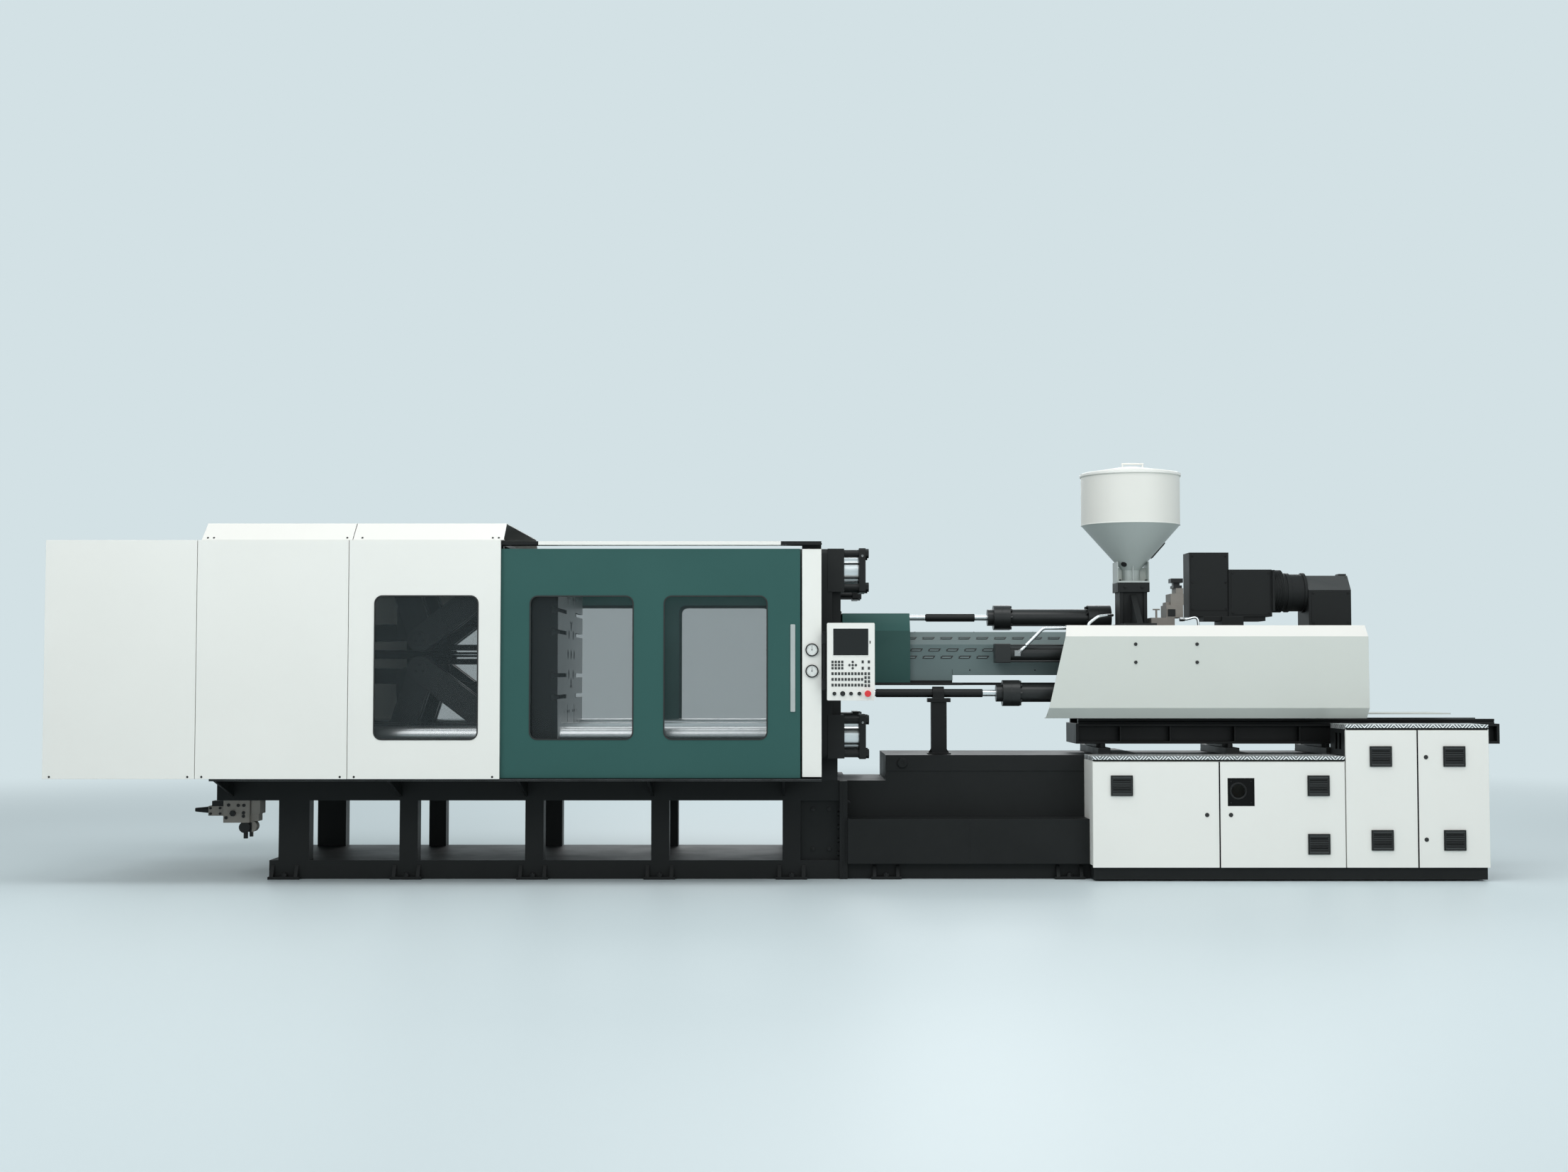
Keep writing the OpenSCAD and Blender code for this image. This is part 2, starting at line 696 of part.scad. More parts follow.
// Cabinet body, open at the front
module cabinet(x0, x1, top) {
  t = 8;
  difference() {
    block(x0, x1, -cab_y + cab_door_t + shoe_gap, -inj_half_w - 4, base_top, top - strip_h);
    block(x0 + t, x1 - t, -cab_y, -inj_half_w - 4 - t, base_top + t, top - strip_h - t);
  }
}

module low_cabinet() {
  color(white) cabinet(cab_left, cab_split - 4, low_top);
}

module tall_cabinet() {
  color(dark) difference() {
    cabinet(cab_split, cab_right, tall_top);
    for (y = [0, 1]) block(cab_split - 1, cab_split + 9, -700 + y * 90, -640 + y * 90, tall_top - 171, tall_top - 61);
  }
}

module cabinet_tops() {
  color(zinc) {
    block(cab_left, cab_split - 4, -cab_y, -inj_half_w - 4, low_top - strip_h, low_top);
    block(cab_split + 2, cab_right - 2, -cab_y, -inj_half_w - 4, tall_top - strip_h, tall_top);
  }
}

// Air filter cover on a door, with a hood edge and louvres
module filter_cover(x, z) {
  difference() {
    block(x, x + filter_w, -cab_y - filter_out, -cab_y, z, z + filter_h);
    block(x + 10, x + filter_w - 10, -cab_y - filter_out - 1, -cab_y - filter_out + 4, z + 16, z + filter_h - 14);
    for (i = [0 : 5])
      block(x + 14, x + filter_w - 14, -cab_y - filter_out - 1, -cab_y - 3, z + 22 + i * 16, z + 28 + i * 16);
  }
}

// Door leaf with its folded edge, lock cylinders and hinge pin; side tells which edge the pin is at
module cabinet_door(x0, x1, top, locks, side) {
  pin_r = 3;
  pin_x = side < 0 ? x0 + pin_r : x1 - pin_r;
  difference() {
    union() {
      block(side < 0 ? x0 + pin_r : x0, side < 0 ? x1 : x1 - pin_r, -cab_y, -cab_y + cab_door_t, cab_low, top);
      block(x0, x1, -cab_y + pin_r, -cab_y + cab_door_t, cab_low, top);
      translate([pin_x, -cab_y + pin_r, cab_low]) cylinder(h = top - cab_low, r = pin_r);
    }
    block(x0 + 3.2, x1 - 3.2, -cab_y + 3.2, -cab_y + cab_door_t + 1, cab_low + 3, top - 3);
    for (p = locks) bar_y(p[0], -cab_y - 1, -cab_y + 4, p[1], 24);
  }
  translate([pin_x, -cab_y + pin_r, top - 1]) cylinder(h = door_drop + 1 - shoe_gap, r = pin_r - 0.5);
  for (p = locks) color(black) difference() {
    bar_y(p[0], -cab_y - 2, -cab_y + cab_door_t, p[1], 24);
    block(p[0] - 1.5, p[0] + 1.5, -cab_y - 3, -cab_y + 3, p[1] - 7, p[1] + 7);
  }
}

low_split = cab_left + 853;
tall_split = cab_split + 484;
door_drop = 6;
low_door_top = low_top - strip_h - door_drop;
tall_door_top = tall_top - strip_h - door_drop;

module low_door_left() {
  color(white) cabinet_door(cab_left + 1, low_split - 2, low_door_top, [[low_split - 85, low_door_top - 355]], -1);
  color(dark) filter_cover(cab_left + 123, low_door_top - 227);
}

module low_door_right() {
  x0 = low_split + 65;
  x1 = low_split + 224;
  z0 = low_door_top - 285;
  z1 = low_door_top - 119;
  color(white) difference() {
    cabinet_door(low_split + 2, cab_split - 5, low_door_top, [[low_split + 75, low_door_top - 355]], 1);
    block(x0, x1, -cab_y - 1, -cab_y + 4, z0, z1);
  }
  color(dark) difference() {
    union() {
      block(x0, x1, -cab_y, -cab_y + 4, z0, z1);
      block(x0 - 10, x1 + 10, -cab_y + 4, -cab_y + 8, z0 - 10, z1 + 10);
    }
    bar_y(low_split + 126, -cab_y - 1, -cab_y + 9, low_door_top - 195, 98);
  }
  color(dark) for (d = [227, 618]) filter_cover(cab_split - 258, low_door_top - d);
}

module tall_door_left() {
  color(white) cabinet_door(cab_split + 2, tall_split - 2, tall_door_top, [], -1);
  color(dark) {
    filter_cover(cab_split + 163, tall_door_top - 244);
    filter_cover(cab_split + 168, tall_door_top - 805);
  }
}

module tall_door_right() {
  color(white) cabinet_door(tall_split + 2, cab_right - 1, tall_door_top,
    [[tall_split + 57, tall_door_top - 181], [tall_split + 54, tall_door_top - 733]], 1);
  color(dark) {
    filter_cover(tall_split + 173, tall_door_top - 244);
    filter_cover(tall_split + 170, tall_door_top - 805);
  }
}

rib_list = [2277, 2627, 3080, 3535, 3990, 4445];
// Supports under the sled: left face, width and length of the flange
support_list = [[2097, 85, 255], [2981, 93, 150], [3675, 70, 120], [4420, 85, 120]];

module sled_base() {
  w = sled_half_w;
  color(dark) {
    block(sled_left, sled_right, -w + 60, w - 60, sled_low, sled_top);
    block(sled_left, sled_right, -w, w, sled_low, sled_low + 18);
    block(sled_left, sled_right, -w, w, sled_top - 18, sled_top);
    for (x = rib_list) block(x, x + 12, -w + 4, w - 4, sled_low + 18, sled_top - 18);
    for (x = [sled_left, sled_right - 20]) block(x, x + 20, -w, w, sled_low + 18, sled_top - 18);
    for (p = support_list) {
      block(p[0], p[0] + p[1], -w - 180, w + 180, inj_top, sled_low - 22);
      block(p[0], p[0] + p[2], -w - 185, w + 185, inj_top, inj_top + 16);
      block(p[0] + 10, p[0] + p[1] - 10, -w - 20, w + 20, sled_low - 22, sled_low);
      both() translate([p[0] + p[1] / 2, -w - 60, sled_low - 22]) cylinder(h = 26, d = 44, $fn = 6);
    }
  }
}

module sled_rails() {
  color(black) both() {
    along_x(sled_left + 20, sled_right - sled_left - 46) polygon([[170, sled_top], [210, sled_top], [210, sled_top + 10],
      [204, sled_top + 16], [210, sled_top + 22], [210, rail_top], [170, rail_top], [170, sled_top + 22],
      [176, sled_top + 16], [170, sled_top + 10]]);
  }
}

module rod_stand() {
  z1 = axis_h - pull_z - pull_sleeve_d / 2;
  color(dark) {
    block(950, 1057, -pull_y - 40, -pull_y + 40, inj_top + 10, z1 - 34);
    block(925, 1084, -pull_y - 60, -pull_y + 60, inj_top, inj_top + 10);
    block(925, 1084, -pull_y - 50, -pull_y + 50, z1 - 34, z1 - 6);
    difference() {
      along_x(960, 80) union() {
        translate([-pull_y - 46, z1 - 6]) square([92, pull_sleeve_d / 2 + 6]);
        translate([-pull_y, axis_h - pull_z]) circle(46);
      }
      bar_x(950, 1050, -pull_y, axis_h - pull_z, pull_sleeve_d);
    }
    for (s = [-1, 1]) along_y(-pull_y - 6, 12)
      polygon([[1003 + s * 53, inj_top + 10], [1003 + s * 74, inj_top + 10], [1003 + s * 53, inj_top + 42]]);
  }
}

// Left face of the carriage cylinders at rest
cyl_x = 1424;
house_x = 2300;
house_w = 222;
cyl_len = house_x - cyl_x;
// Left face of the injection cylinders
icyl_x = house_x - 904;
// Right end of the injection covers
cover_end = house_x + 1652;

module carriage_rods() {
  back = fixed_face + fixed_t;
  for (s = [-1, 1]) translate([0, -s * pull_y, axis_h - s * pull_z]) {
    color(chrome) {
      bar_x(back - 60, house_x - 90, 0, 0, pull_rod_d);
      bar_x(house_x - 90, house_x - 50, 0, 0, 100 - 2 * run_gap);
    }
    color(dark) {
      difference() {
        bar_x(s > 0 ? 566 : 958, 1310, 0, 0, pull_sleeve_d);
        bar_x(500, 1400, 0, 0, pull_rod_d);
      }
      difference() {
        bar_x(back, back + 34, 0, 0, 96);
        bar_x(back - 1, back + 40, 0, 0, pull_rod_d);
      }
    }
  }
}

ctrl_arms = [ctrl_low + 404, ctrl_low + 102];
button_x = ctrl_left + 48;
rail_w = 12;
rail_h = 14;
win1_x = -1751;
win2_x = -867;

module door_leaf() {
  h = door_high - guard_low - 4;
  difference() {
    along_y(-inner_y, door_t) difference() {
      translate([door_left, guard_low + 4]) square([door_right - door_left, h]);
      for (x = [win1_x, win2_x]) translate([x, win_low]) rounded(win_w, win_h, win_r);
    }
    for (x = [win1_x, win2_x])
      along_y(-inner_y + door_t - 10, 11) translate([x - pane_lap - 1, win_low - pane_lap - 1])
        rounded(win_w + 2 * pane_lap + 2, win_h + 2 * pane_lap + 2, win_r);
    w = rail_w / 2 + shoe_gap;
    block(door_left - 1, door_right + 1, -inner_y + door_t / 2 - w, -inner_y + door_t / 2 + w, guard_low, guard_low + rail_h + shoe_gap);
  }
}

module door_panes() {
  for (x = [win1_x, win2_x])
    along_y(-inner_y + door_t - 10, pane_t) translate([x - pane_lap, win_low - pane_lap])
      rounded(win_w + 2 * pane_lap, win_h + 2 * pane_lap, win_r);
}

module front_door() {
  color(green) door_leaf();
}

module front_door_panes() {
  color(glass) door_panes();
}

module front_door_handle() {
  color(zinc) {
    along_y(-inner_y - door_gap + 1, door_gap - 1) translate([door_right - 65, axis_h - 389]) rounded(32, 576, 6);
  }
}

module rear_door() {
  color(green) mirror([0, 1, 0]) door_leaf();
}

module rear_door_panes() {
  color(glass) mirror([0, 1, 0]) door_panes();
}

screen = [ctrl_left + 41, ctrl_left + 274, ctrl_low + 291, ctrl_low + 470];

module panel_housing() {
  color(white) {
    difference() {
      along_y(-ctrl_y, ctrl_t) translate([ctrl_left, ctrl_low]) rounded(ctrl_w, ctrl_h, 8);
      block(screen[0], screen[1], -ctrl_y - 1, -ctrl_y + 8, screen[2], screen[3]);
      for (i = [0 : 4]) bar_y(button_x + i * button_pitch, -ctrl_y - 1, -ctrl_y + 30, ctrl_low + button_h, 16);
    }
    for (z = ctrl_arms) difference() {
      union() {
        translate([ctrl_left - 18, -ctrl_y + 25, z + 32]) cylinder(h = 12, d = 32);
        block(ctrl_left - 18, ctrl_left + 1, -ctrl_y + 9, -ctrl_y + 41, z + 32, z + 44);
      }
      translate([ctrl_left - 18, -ctrl_y + 25, z + 30]) cylinder(h = 20, d = 16 + 2 * run_gap);
    }
  }
}

module panel_screen() {
  color(black) block(screen[0], screen[1], -ctrl_y + 2, -ctrl_y + 8, screen[2], screen[3]);
}

// Stem and cap of one button on the panel
module button(n, cap_d, cap_t, gap) {
  x = button_x + n * button_pitch;
  z = ctrl_low + button_h;
  bar_y(x, -ctrl_y - gap, -ctrl_y + 22, z, 16 - 2 * run_gap);
  bar_y(x, -ctrl_y - gap - cap_t, -ctrl_y - gap, z, cap_d);
}

module start_button() {
  color(black) button(0, button_d, 6, 5);
}

module stop_button() {
  color(black) button(2, button_d, 6, 5);
}

module reset_button() {
  color(black) button(3, button_d, 6, 5);
}

module selector_switch() {
  color(black) {
    button(1, 32, 8, 1);
    x = button_x + button_pitch;
    block(x - 4, x + 4, -ctrl_y - 21, -ctrl_y - 9, ctrl_low + button_h - 15, ctrl_low + button_h + 15);
  }
}

module emergency_stop() {
  color("#D7262B") {
    button(4, 24, 12, 8);
    bar_y(button_x + 4 * button_pitch, -ctrl_y - 36, -ctrl_y - 20, ctrl_low + button_h, 43);
  }
}

// Lug plates of a platen in the planes of the given list
module lugs(face, x, planes, r) {
  for (n = planes) both() along_y(plane(n), link_t) {
    polygon([[face, pin_h - r], [x, pin_h - r], [x, pin_h + r], [face, pin_h + r]]);
    translate([x, pin_h]) circle(r);
  }
}

module moving_platen() {
  back = moving_face - moving_t;
  r = link_r + 8;
  color(dark) {
    difference() {
      union() {
        along_x(back, moving_t) translate([-platen_half_w, platen_low])
          rounded(2 * platen_half_w, 2 * platen_half_h, 36);
        for (upper = [true, false]) half(upper) lugs(back + 1, pin_c, [1, 3], r);
        at_bars() bar_x(back - 90, back + 2, 0, 0, bar_d + 80);
        both() block(back - 120, moving_face - 20, 500, bed_w / 2 - 10, bed_top + wear_t + shoe_gap, platen_low + 40);
        both() block(back - 120, moving_face - 20, 470, bed_w / 2, platen_low - 40, platen_low + 40);
      }
      at_bars() bar_x(back - 100, moving_face + 1, 0, 0, bar_d + 2 * bar_gap);
      face_cuts(moving_face, -1);
      bar_x(back - 1, moving_face + 1, 0, axis_h, knock_d);
      for (a = [0 : 45 : 315]) bar_x(back - 1, moving_face + 1, knock_r * cos(a), axis_h + knock_r * sin(a), knock_d);
      for (upper = [true, false]) half(upper) bar_y(pin_c, -platen_half_w, platen_half_w, pin_h, pin_d);
    }
    for (s = [-1, 1], upper = [true, false]) half(upper)
      bar_y(pin_c, s > 0 ? plane(3) - 6 : -link_out - 6, s > 0 ? link_out + 6 : -plane(3) + 6, pin_h, pin_d);
  }
  color(black) difference() {
    union() {
      for (s = [-1, 1]) block(eject_back, back, -70, 70, axis_h + s * 50 - 20, axis_h + s * 50 + 20);
      block(eject_back, eject_back + 40, -70, 70, axis_h - 70, axis_h + 70);
      along_x(eject_back - 60, 40) translate([-76, axis_h - 155]) rounded(152, 310, 12);
      block(eject_back - 21, eject_back, -60, 60, axis_h - 60, axis_h + 60);
    }
    bar_x(eject_back - 70, eject_back + 50, 0, axis_h, 40);
  }
}

module ejector() {
  plate = moving_face - moving_t - eject_stroke - 50;
  color(chrome) bar_x(plate - 440, moving_face - 60, 0, axis_h, 36);
  color(steel) {
    difference() {
      along_x(plate, 30) difference() {
        translate([-245, axis_h - 245]) rounded(490, 490, 20);
        for (s = [-1, 1]) translate([-70.3, axis_h + s * 50 - 20.3]) square([140.6, 40.6]);
      }
      both() bar_x(plate - 1, plate + 31, guide_y, axis_h, guide_d + 8);
    }
    for (a = [45 : 90 : 315])
      bar_x(plate + 10, moving_face - 60, knock_r * cos(a), axis_h + knock_r * sin(a), 36);
  }
}

module tail_stock() {
  back = tail_front - tail_t;
  r = link_r + 8;
  color(dark) {
    difference() {
      union() {
        along_x(back, tail_t) translate([-platen_half_w, platen_low])
          rounded(2 * platen_half_w, 2 * platen_half_h, 60);
        for (upper = [true, false]) half(upper) lugs(tail_front - 1, pin_a, [0, 2], r);
        both() block(back, tail_front + 120, 500, bed_w / 2 - 10, bed_top + wear_t + shoe_gap, platen_low + 40);
        both() block(back, tail_front + 120, 470, bed_w / 2, platen_low - 40, platen_low + 40);
      }
      at_bars() bar_x(back - 1, tail_front + 1, 0, 0, bar_d + 2 * bar_gap);
      along_x(tail_front - 150, 151) translate([-320, axis_h - 240]) rounded(640, 480, 30);
      bar_x(back - 1, tail_front, 0, axis_h, clamp_rod_d + 2 * run_gap);
      for (upper = [true, false]) half(upper) bar_y(pin_a, -platen_half_w, platen_half_w, pin_h, pin_d);
    }
    for (s = [-1, 1], upper = [true, false]) half(upper)
      bar_y(pin_a, s > 0 ? plane(3) - 2 : -link_out - 6, s > 0 ? link_out + 6 : -plane(3) + 2, pin_h, pin_d);
  }
  color(chrome) both() bar_x(tail_front - 150, pin_p + cross_travel + 10, guide_y, axis_h, guide_d);
}

module clamp_cylinder() {
  back = tail_front - tail_t;
  color(dark) {
    difference() {
      union() {
        along_x(back - 60, 60) translate([-200, axis_h - 200]) rounded(400, 400, 30);
        bar_x(back - clamp_cyl_len, back - 60, 0, axis_h, clamp_cyl_d);
        along_x(back - clamp_cyl_len - 60, 80) translate([-180, axis_h - 180]) rounded(360, 360, 20);
      }
      bar_x(back - clamp_cyl_len, back - 50, 0, axis_h, clamp_bore);
      bar_x(back - 60, back + 1, 0, axis_h, clamp_rod_d + 2 * run_gap);
    }
    for (y = [-1, 1], z = [-1, 1]) {
      head_x(back - 84, y * 165, axis_h + z * 165, 46, 24);
      head_x(back - clamp_cyl_len - 78, y * 148, axis_h + z * 148, 36, 18);
    }
    block(back - 700, back - 620, -50, 50, axis_h + clamp_cyl_d / 2 - 6, axis_h + clamp_cyl_d / 2 + 50);
  }
}

module adjusting_nuts() {
  back = tail_front - tail_t;
  teeth = 32;
  color(steel) at_bars() difference() {
    union() {
      bar_x(back - 120, back, 0, 0, nut_d - 60);
      along_x(back - 84, 44) union() {
        circle(d = nut_d - 16);
        for (i = [0 : teeth - 1]) rotate(i * 360 / teeth)
          translate([nut_d / 2 - 12, -5]) polygon([[0, -2], [12, 1], [12, 9], [0, 12]]);
      }
    }
    bar_x(back - 130, back + 1, 0, 0, bar_d + 2 * bar_gap);
  }
}

module crosshead() {
  rear = pin_p - 190;
  color(dark) {
    difference() {
      union() {
        block(rear, pin_p + 40, -plane_k + 2, plane_k - 2, axis_h - 110, axis_h + 110);
        both() block(rear, pin_p - cross_r - 14, 0, plane(3) + link_t, axis_h - 200, axis_h + 200);
        for (upper = [true, false]) half(upper) both() {
          along_y(plane_k, link_x_t) {
            polygon([[rear, 0], [pin_p, cross_h - cross_r], [pin_p, cross_h + cross_r], [rear, cross_h + cross_r - 8]]);
            translate([pin_p, cross_h]) circle(cross_r);
          }
          along_y(plane(3), link_t) {
            translate([rear + 10, cross_h - cross_r]) square([pin_p - rear - 10, 2 * cross_r]);
            translate([pin_p, cross_h]) circle(cross_r);
          }
        }
      }
      both() bar_x(rear - 1, pin_p + 60, guide_y, axis_h, guide_d + 2 * run_gap);
      for (upper = [true, false]) half(upper) bar_y(pin_p, -platen_half_w, platen_half_w, cross_h, cross_pin_d);
    }
    for (s = [-1, 1], upper = [true, false]) half(upper)
      bar_y(pin_p, s > 0 ? plane_k - 4 : -plane(3) - link_t - 4, s > 0 ? plane(3) + link_t + 4 : -plane_k + 4, cross_h, cross_pin_d);
  }
  color(chrome) {
    bar_x(tail_front - tail_t - clamp_cyl_len + 140, rear + 20, 0, axis_h, clamp_rod_d);
    bar_x(tail_front - tail_t - clamp_cyl_len + 60, tail_front - tail_t - clamp_cyl_len + 140, 0, axis_h, clamp_bore - 2 * run_gap);
  }
}

// Both halves of a rear link, drawn for the upper side
module rear_link(upper) {
  a = [pin_a, pin_h];
  b = [pin_b, elbow_h];
  e = [ear_x, ear_h];
  d = (b - a) / norm(b - a);
  web0 = a + d * 165;
  web1 = a + d * 225;
  color("#33373A") half(upper) both() {
    difference() {
      union() {
        along_y(plane(1), link_t) link_2d(a, b, link_r);
        along_y(plane(3), link_t) union() {
          link_2d(a, b, link_r);
          link_2d(a + d * 120, e, cross_r);
          link_2d(e, b, cross_r);
        }
        along_y(plane(3) + link_t - 1, 2 * link_pitch - link_t + 2) link_2d(web0, web1, 42);
      }
      bar_y(a[0], -platen_half_w, platen_half_w, a[1], pin_d + 2 * run_gap);
    }
    bar_y(b[0], plane(3) - 2, plane(3), b[1], pin_d);
    bar_y(b[0], plane(1) - 2, plane(1), b[1], pin_d);
  }
}

// Both halves of a front link, drawn for the upper side
module front_link(upper) {
  c = [pin_c, pin_h];
  b = [pin_b, elbow_h];
  d = (b - c) / norm(b - c);
  web0 = c + d * 240;
  web1 = c + d * 420;
  color("#33373A") half(upper) both() {
    difference() {
      union() {
        along_y(plane(0), link_t) link_2d(c, b, link_r);
        along_y(plane(2), link_t) link_2d(c, b, link_r);
        along_y(plane(2) + link_t - 1, 2 * link_pitch - link_t + 2) link_2d(web0, web1, 46);
      }
      bar_y(c[0], -platen_half_w, platen_half_w, c[1], pin_d + 2 * run_gap);
    }
    bar_y(b[0], link_out, link_out + 5, b[1], pin_d);
  }
}

module crosshead_link(upper) {
  p = [pin_p, cross_h];
  e = [ear_x, ear_h];
  color("#33373A") half(upper) both() {
    difference() {
      along_y(plane_x, link_x_t) link_2d(p, e, cross_r - 4);
      bar_y(p[0], -platen_half_w, platen_half_w, p[1], cross_pin_d + 2 * run_gap);
    }
    bar_y(e[0], plane_x - 2, plane_x, e[1], cross_pin_d);
  }
}

module rear_link_upper() { rear_link(true); }
module rear_link_lower() { rear_link(false); }
module front_link_upper() { front_link(true); }
module front_link_lower() { front_link(false); }
module crosshead_link_upper() { crosshead_link(true); }
module crosshead_link_lower() { crosshead_link(false); }

// Injection carriage
module injection_housing() {
  flange_h = 67;
  neck = 98;
  flange = 113;
  end = house_x + house_w;
  color(dark) {
    difference() {
      union() {
        block(house_x, end, -360, 360, rail_top + 60, feed_top);
        block(hopper_x - neck, hopper_x + neck, -neck + 14, neck - 14, feed_top - 1, throat_top);
        for (x = [-neck, neck - 24], y = [-neck, neck - 24]) block(hopper_x + x, hopper_x + x + 24, y, y + 24, feed_top - 1, throat_top);
        along_x(hopper_x - 20, 40) polygon([[-360, feed_top - 1], [-neck, throat_top - 20], [neck, throat_top - 20], [360, feed_top - 1]]);
        block(hopper_x - flange, hopper_x + flange, -flange, flange, throat_top, throat_top + flange_h);
        block(sled_left + 30, house_x + 1340, -330, 330, rail_top + 22, rail_top + 60);
        for (x = [sled_left + 60, 3380]) both() block(x, x + 200, 150, 230, rail_top + shoe_gap, rail_top + 22);
        both() block(end + 8, house_x + 1320, 236, 276, rail_top + 60, rail_top + 80);
      }
      bar_x(house_x - 1, end + 1, 0, axis_h, barrel_d);
      translate([hopper_x, 0, axis_h]) cylinder(h = 520, d = 119);
      for (s = [-1, 1]) bar_x(house_x - 1, end + 1, s * pull_y, axis_h + 6, 104);
    }
  }
  color(black) {
    block(purge_left, 1176, -240, 240, guide_top - 18, guide_top);
    block(1100, house_x, -60, 60, guide_top - 18, guide_top);
  }
}

module barrel() {
  front = 336;
  color(steel) difference() {
    union() {
      bar_x(front, house_x + house_w + 90, 0, axis_h, barrel_d);
      translate([120, 0, axis_h]) rotate([0, 90, 0]) cylinder(h = 60, d1 = 60, d2 = 130);
      bar_x(180, front, 0, axis_h, 130);
      bar_x(30, 121, 0, axis_h, 60);
      translate([2, 0, axis_h]) rotate([0, 90, 0]) cylinder(h = 28, d1 = 30, d2 = 60);
    }
    bar_x(380, house_x + house_w + 91, 0, axis_h, barrel_bore);
    bar_x(0, 381, 0, axis_h, 8);
    translate([hopper_x, 0, axis_h]) cylinder(h = 100, d = 90);
  }
  color(chrome) for (i = [0 : 9]) difference() {
    bar_x(400 + i * 180, 400 + i * 180 + 150, 0, axis_h, band_d);
    bar_x(399 + i * 180, 401 + i * 180 + 150, 0, axis_h, barrel_d);
  }
}

// Section of the barrel cover
function cover_section(w, top, low, ins) = [[-w, low], [-w, axis_h + 70], [-w + 62 - ins * 0.4, top], [w - 62 + ins * 0.4, top],
  [w, axis_h + 70], [w, low]];

module barrel_cover() {
  x0 = purge_left + 40;
  x1 = house_x;
  t = 3;
  top = axis_h + 160;
  low = axis_h - 146;
  pitch = 127;
  color(grey) {
    difference() {
      union() {
        along_x(x0, x1 - x0) difference() {
          polygon(cover_section(bc_half_w, top, low, 0));
          polygon(cover_section(bc_half_w - t, top - t, low - 1, t));
        }
        both() block(x0, 1112, -bc_half_w, -bc_half_w + t, low - 34, low + 1);
        both() block(x0, 1112, -bc_half_w, -80, low - 38, low - 34);
      }
      for (i = [0 : 12]) {
        both() block(x0 + 60 + i * pitch, x0 + 140 + i * pitch, -bc_half_w - 1, -bc_half_w + 10, axis_h + 26, axis_h + 36);
        both() block(x0 + 20 + i * pitch, x0 + 100 + i * pitch, -bc_half_w - 1, -bc_half_w + 10, axis_h - 25, axis_h - 15);
        both() translate([x0 + 20 + i * pitch, -bc_half_w + 31, axis_h + 115])
          rotate([-35, 0, 0]) cube([80, 30, 8], center = false);
      }
    }
    both() for (x = [x0 + 30, 1080, 1900]) block(x, x + 20, -bc_half_w + t, -band_d / 2 + 2, axis_h - 60, axis_h - 50);
  }
  color(grey) both() for (x = [x0 + 30, 1080]) block(x, x + 20, -bc_half_w + 10, -bc_half_w + 30, guide_top, low - 38);
}

module pull_cylinder() {
  end = cyl_x + cyl_len;
  difference() {
    union() {
      bar_x(cyl_x - 20, cyl_x + 26, 0, 0, 120);
      bar_x(cyl_x + 24, cyl_x + 80, 0, 0, pull_flange_d);
      bar_x(cyl_x + 79, cyl_x + 85, 0, 0, pull_flange_d - 8);
      bar_x(cyl_x + 84, cyl_x + 144, 0, 0, pull_flange_d);
      bar_x(cyl_x + 140, end - 80, 0, 0, pull_tube_d);
      bar_x(end - 165, end - 90, 0, 0, pull_flange_d);
      bar_x(end - 91, end - 83, 0, 0, pull_flange_d - 8);
      bar_x(end - 84, end, 0, 0, pull_flange_d);
    }
    bar_x(cyl_x - 21, cyl_x + 100, 0, 0, pull_rod_d + 2 * run_gap);
    bar_x(cyl_x + 60, end - 20, 0, 0, 100);
  }
  for (i = [0 : 7]) rotate([i * 45, 0, 0]) head_x(cyl_x + 144, 0, pull_flange_d / 2 - 16, 20, 14);
}

module cylinders() {
  end = house_x + house_w;
  color(dark) {
    for (s = [-1, 1]) translate([0, -s * pull_y, axis_h - s * pull_z]) pull_cylinder();
    for (s = [-1, 1]) translate([0, s * pull_y, axis_h + 6]) {
      difference() {
        union() {
          along_x(icyl_x, 106) translate([-67, -67]) rounded(134, 134, 8);
          bar_x(icyl_x + 104, end, 0, 0, 104);
          along_x(end, 60) translate([-67, -67]) rounded(134, 134, 8);
          for (y = [-1, 1], z = [-1, 1]) bar_x(icyl_x + 4, house_x, y * 55, z * 55, 14);
        }
        bar_x(icyl_x + 84, end, 0, 0, 80);
        bar_x(end - 1, end + 61, 0, 0, 50 + 2 * run_gap);
      }
    }
  }
}

// Outline of the front injection cover in X and Z
module cover_side(l_top, l_low, z0, z1) {
  polygon([[l_low, z0], [cover_end + 4, z0], [cover_end, z1], [l_top, z1]]);
}

module injection_cover(lt, lb) {
  z = [rail_top + 8, rail_top + 80, axis_h + 120, axis_h + 199];
  y = icover_y;
  intersection() {
    along_y(-y - 1, 200) cover_side(lt, lb, z[0], z[3]);
    along_x(lb - 10, cover_end + 60 - lb) polygon([[-y + 72, z[0]], [-y, z[1]], [-y, z[2]], [-y + 79, z[3]], [-y + 140, z[3]],
      [-y + 140, z[3] - 4], [-y + 81, z[3] - 4], [-y + 4, z[2] - 2], [-y + 4, z[1] + 2], [-y + 74, z[0] + 4],
      [-y + 140, z[0] + 4], [-y + 140, z[0]]]);
  }
}

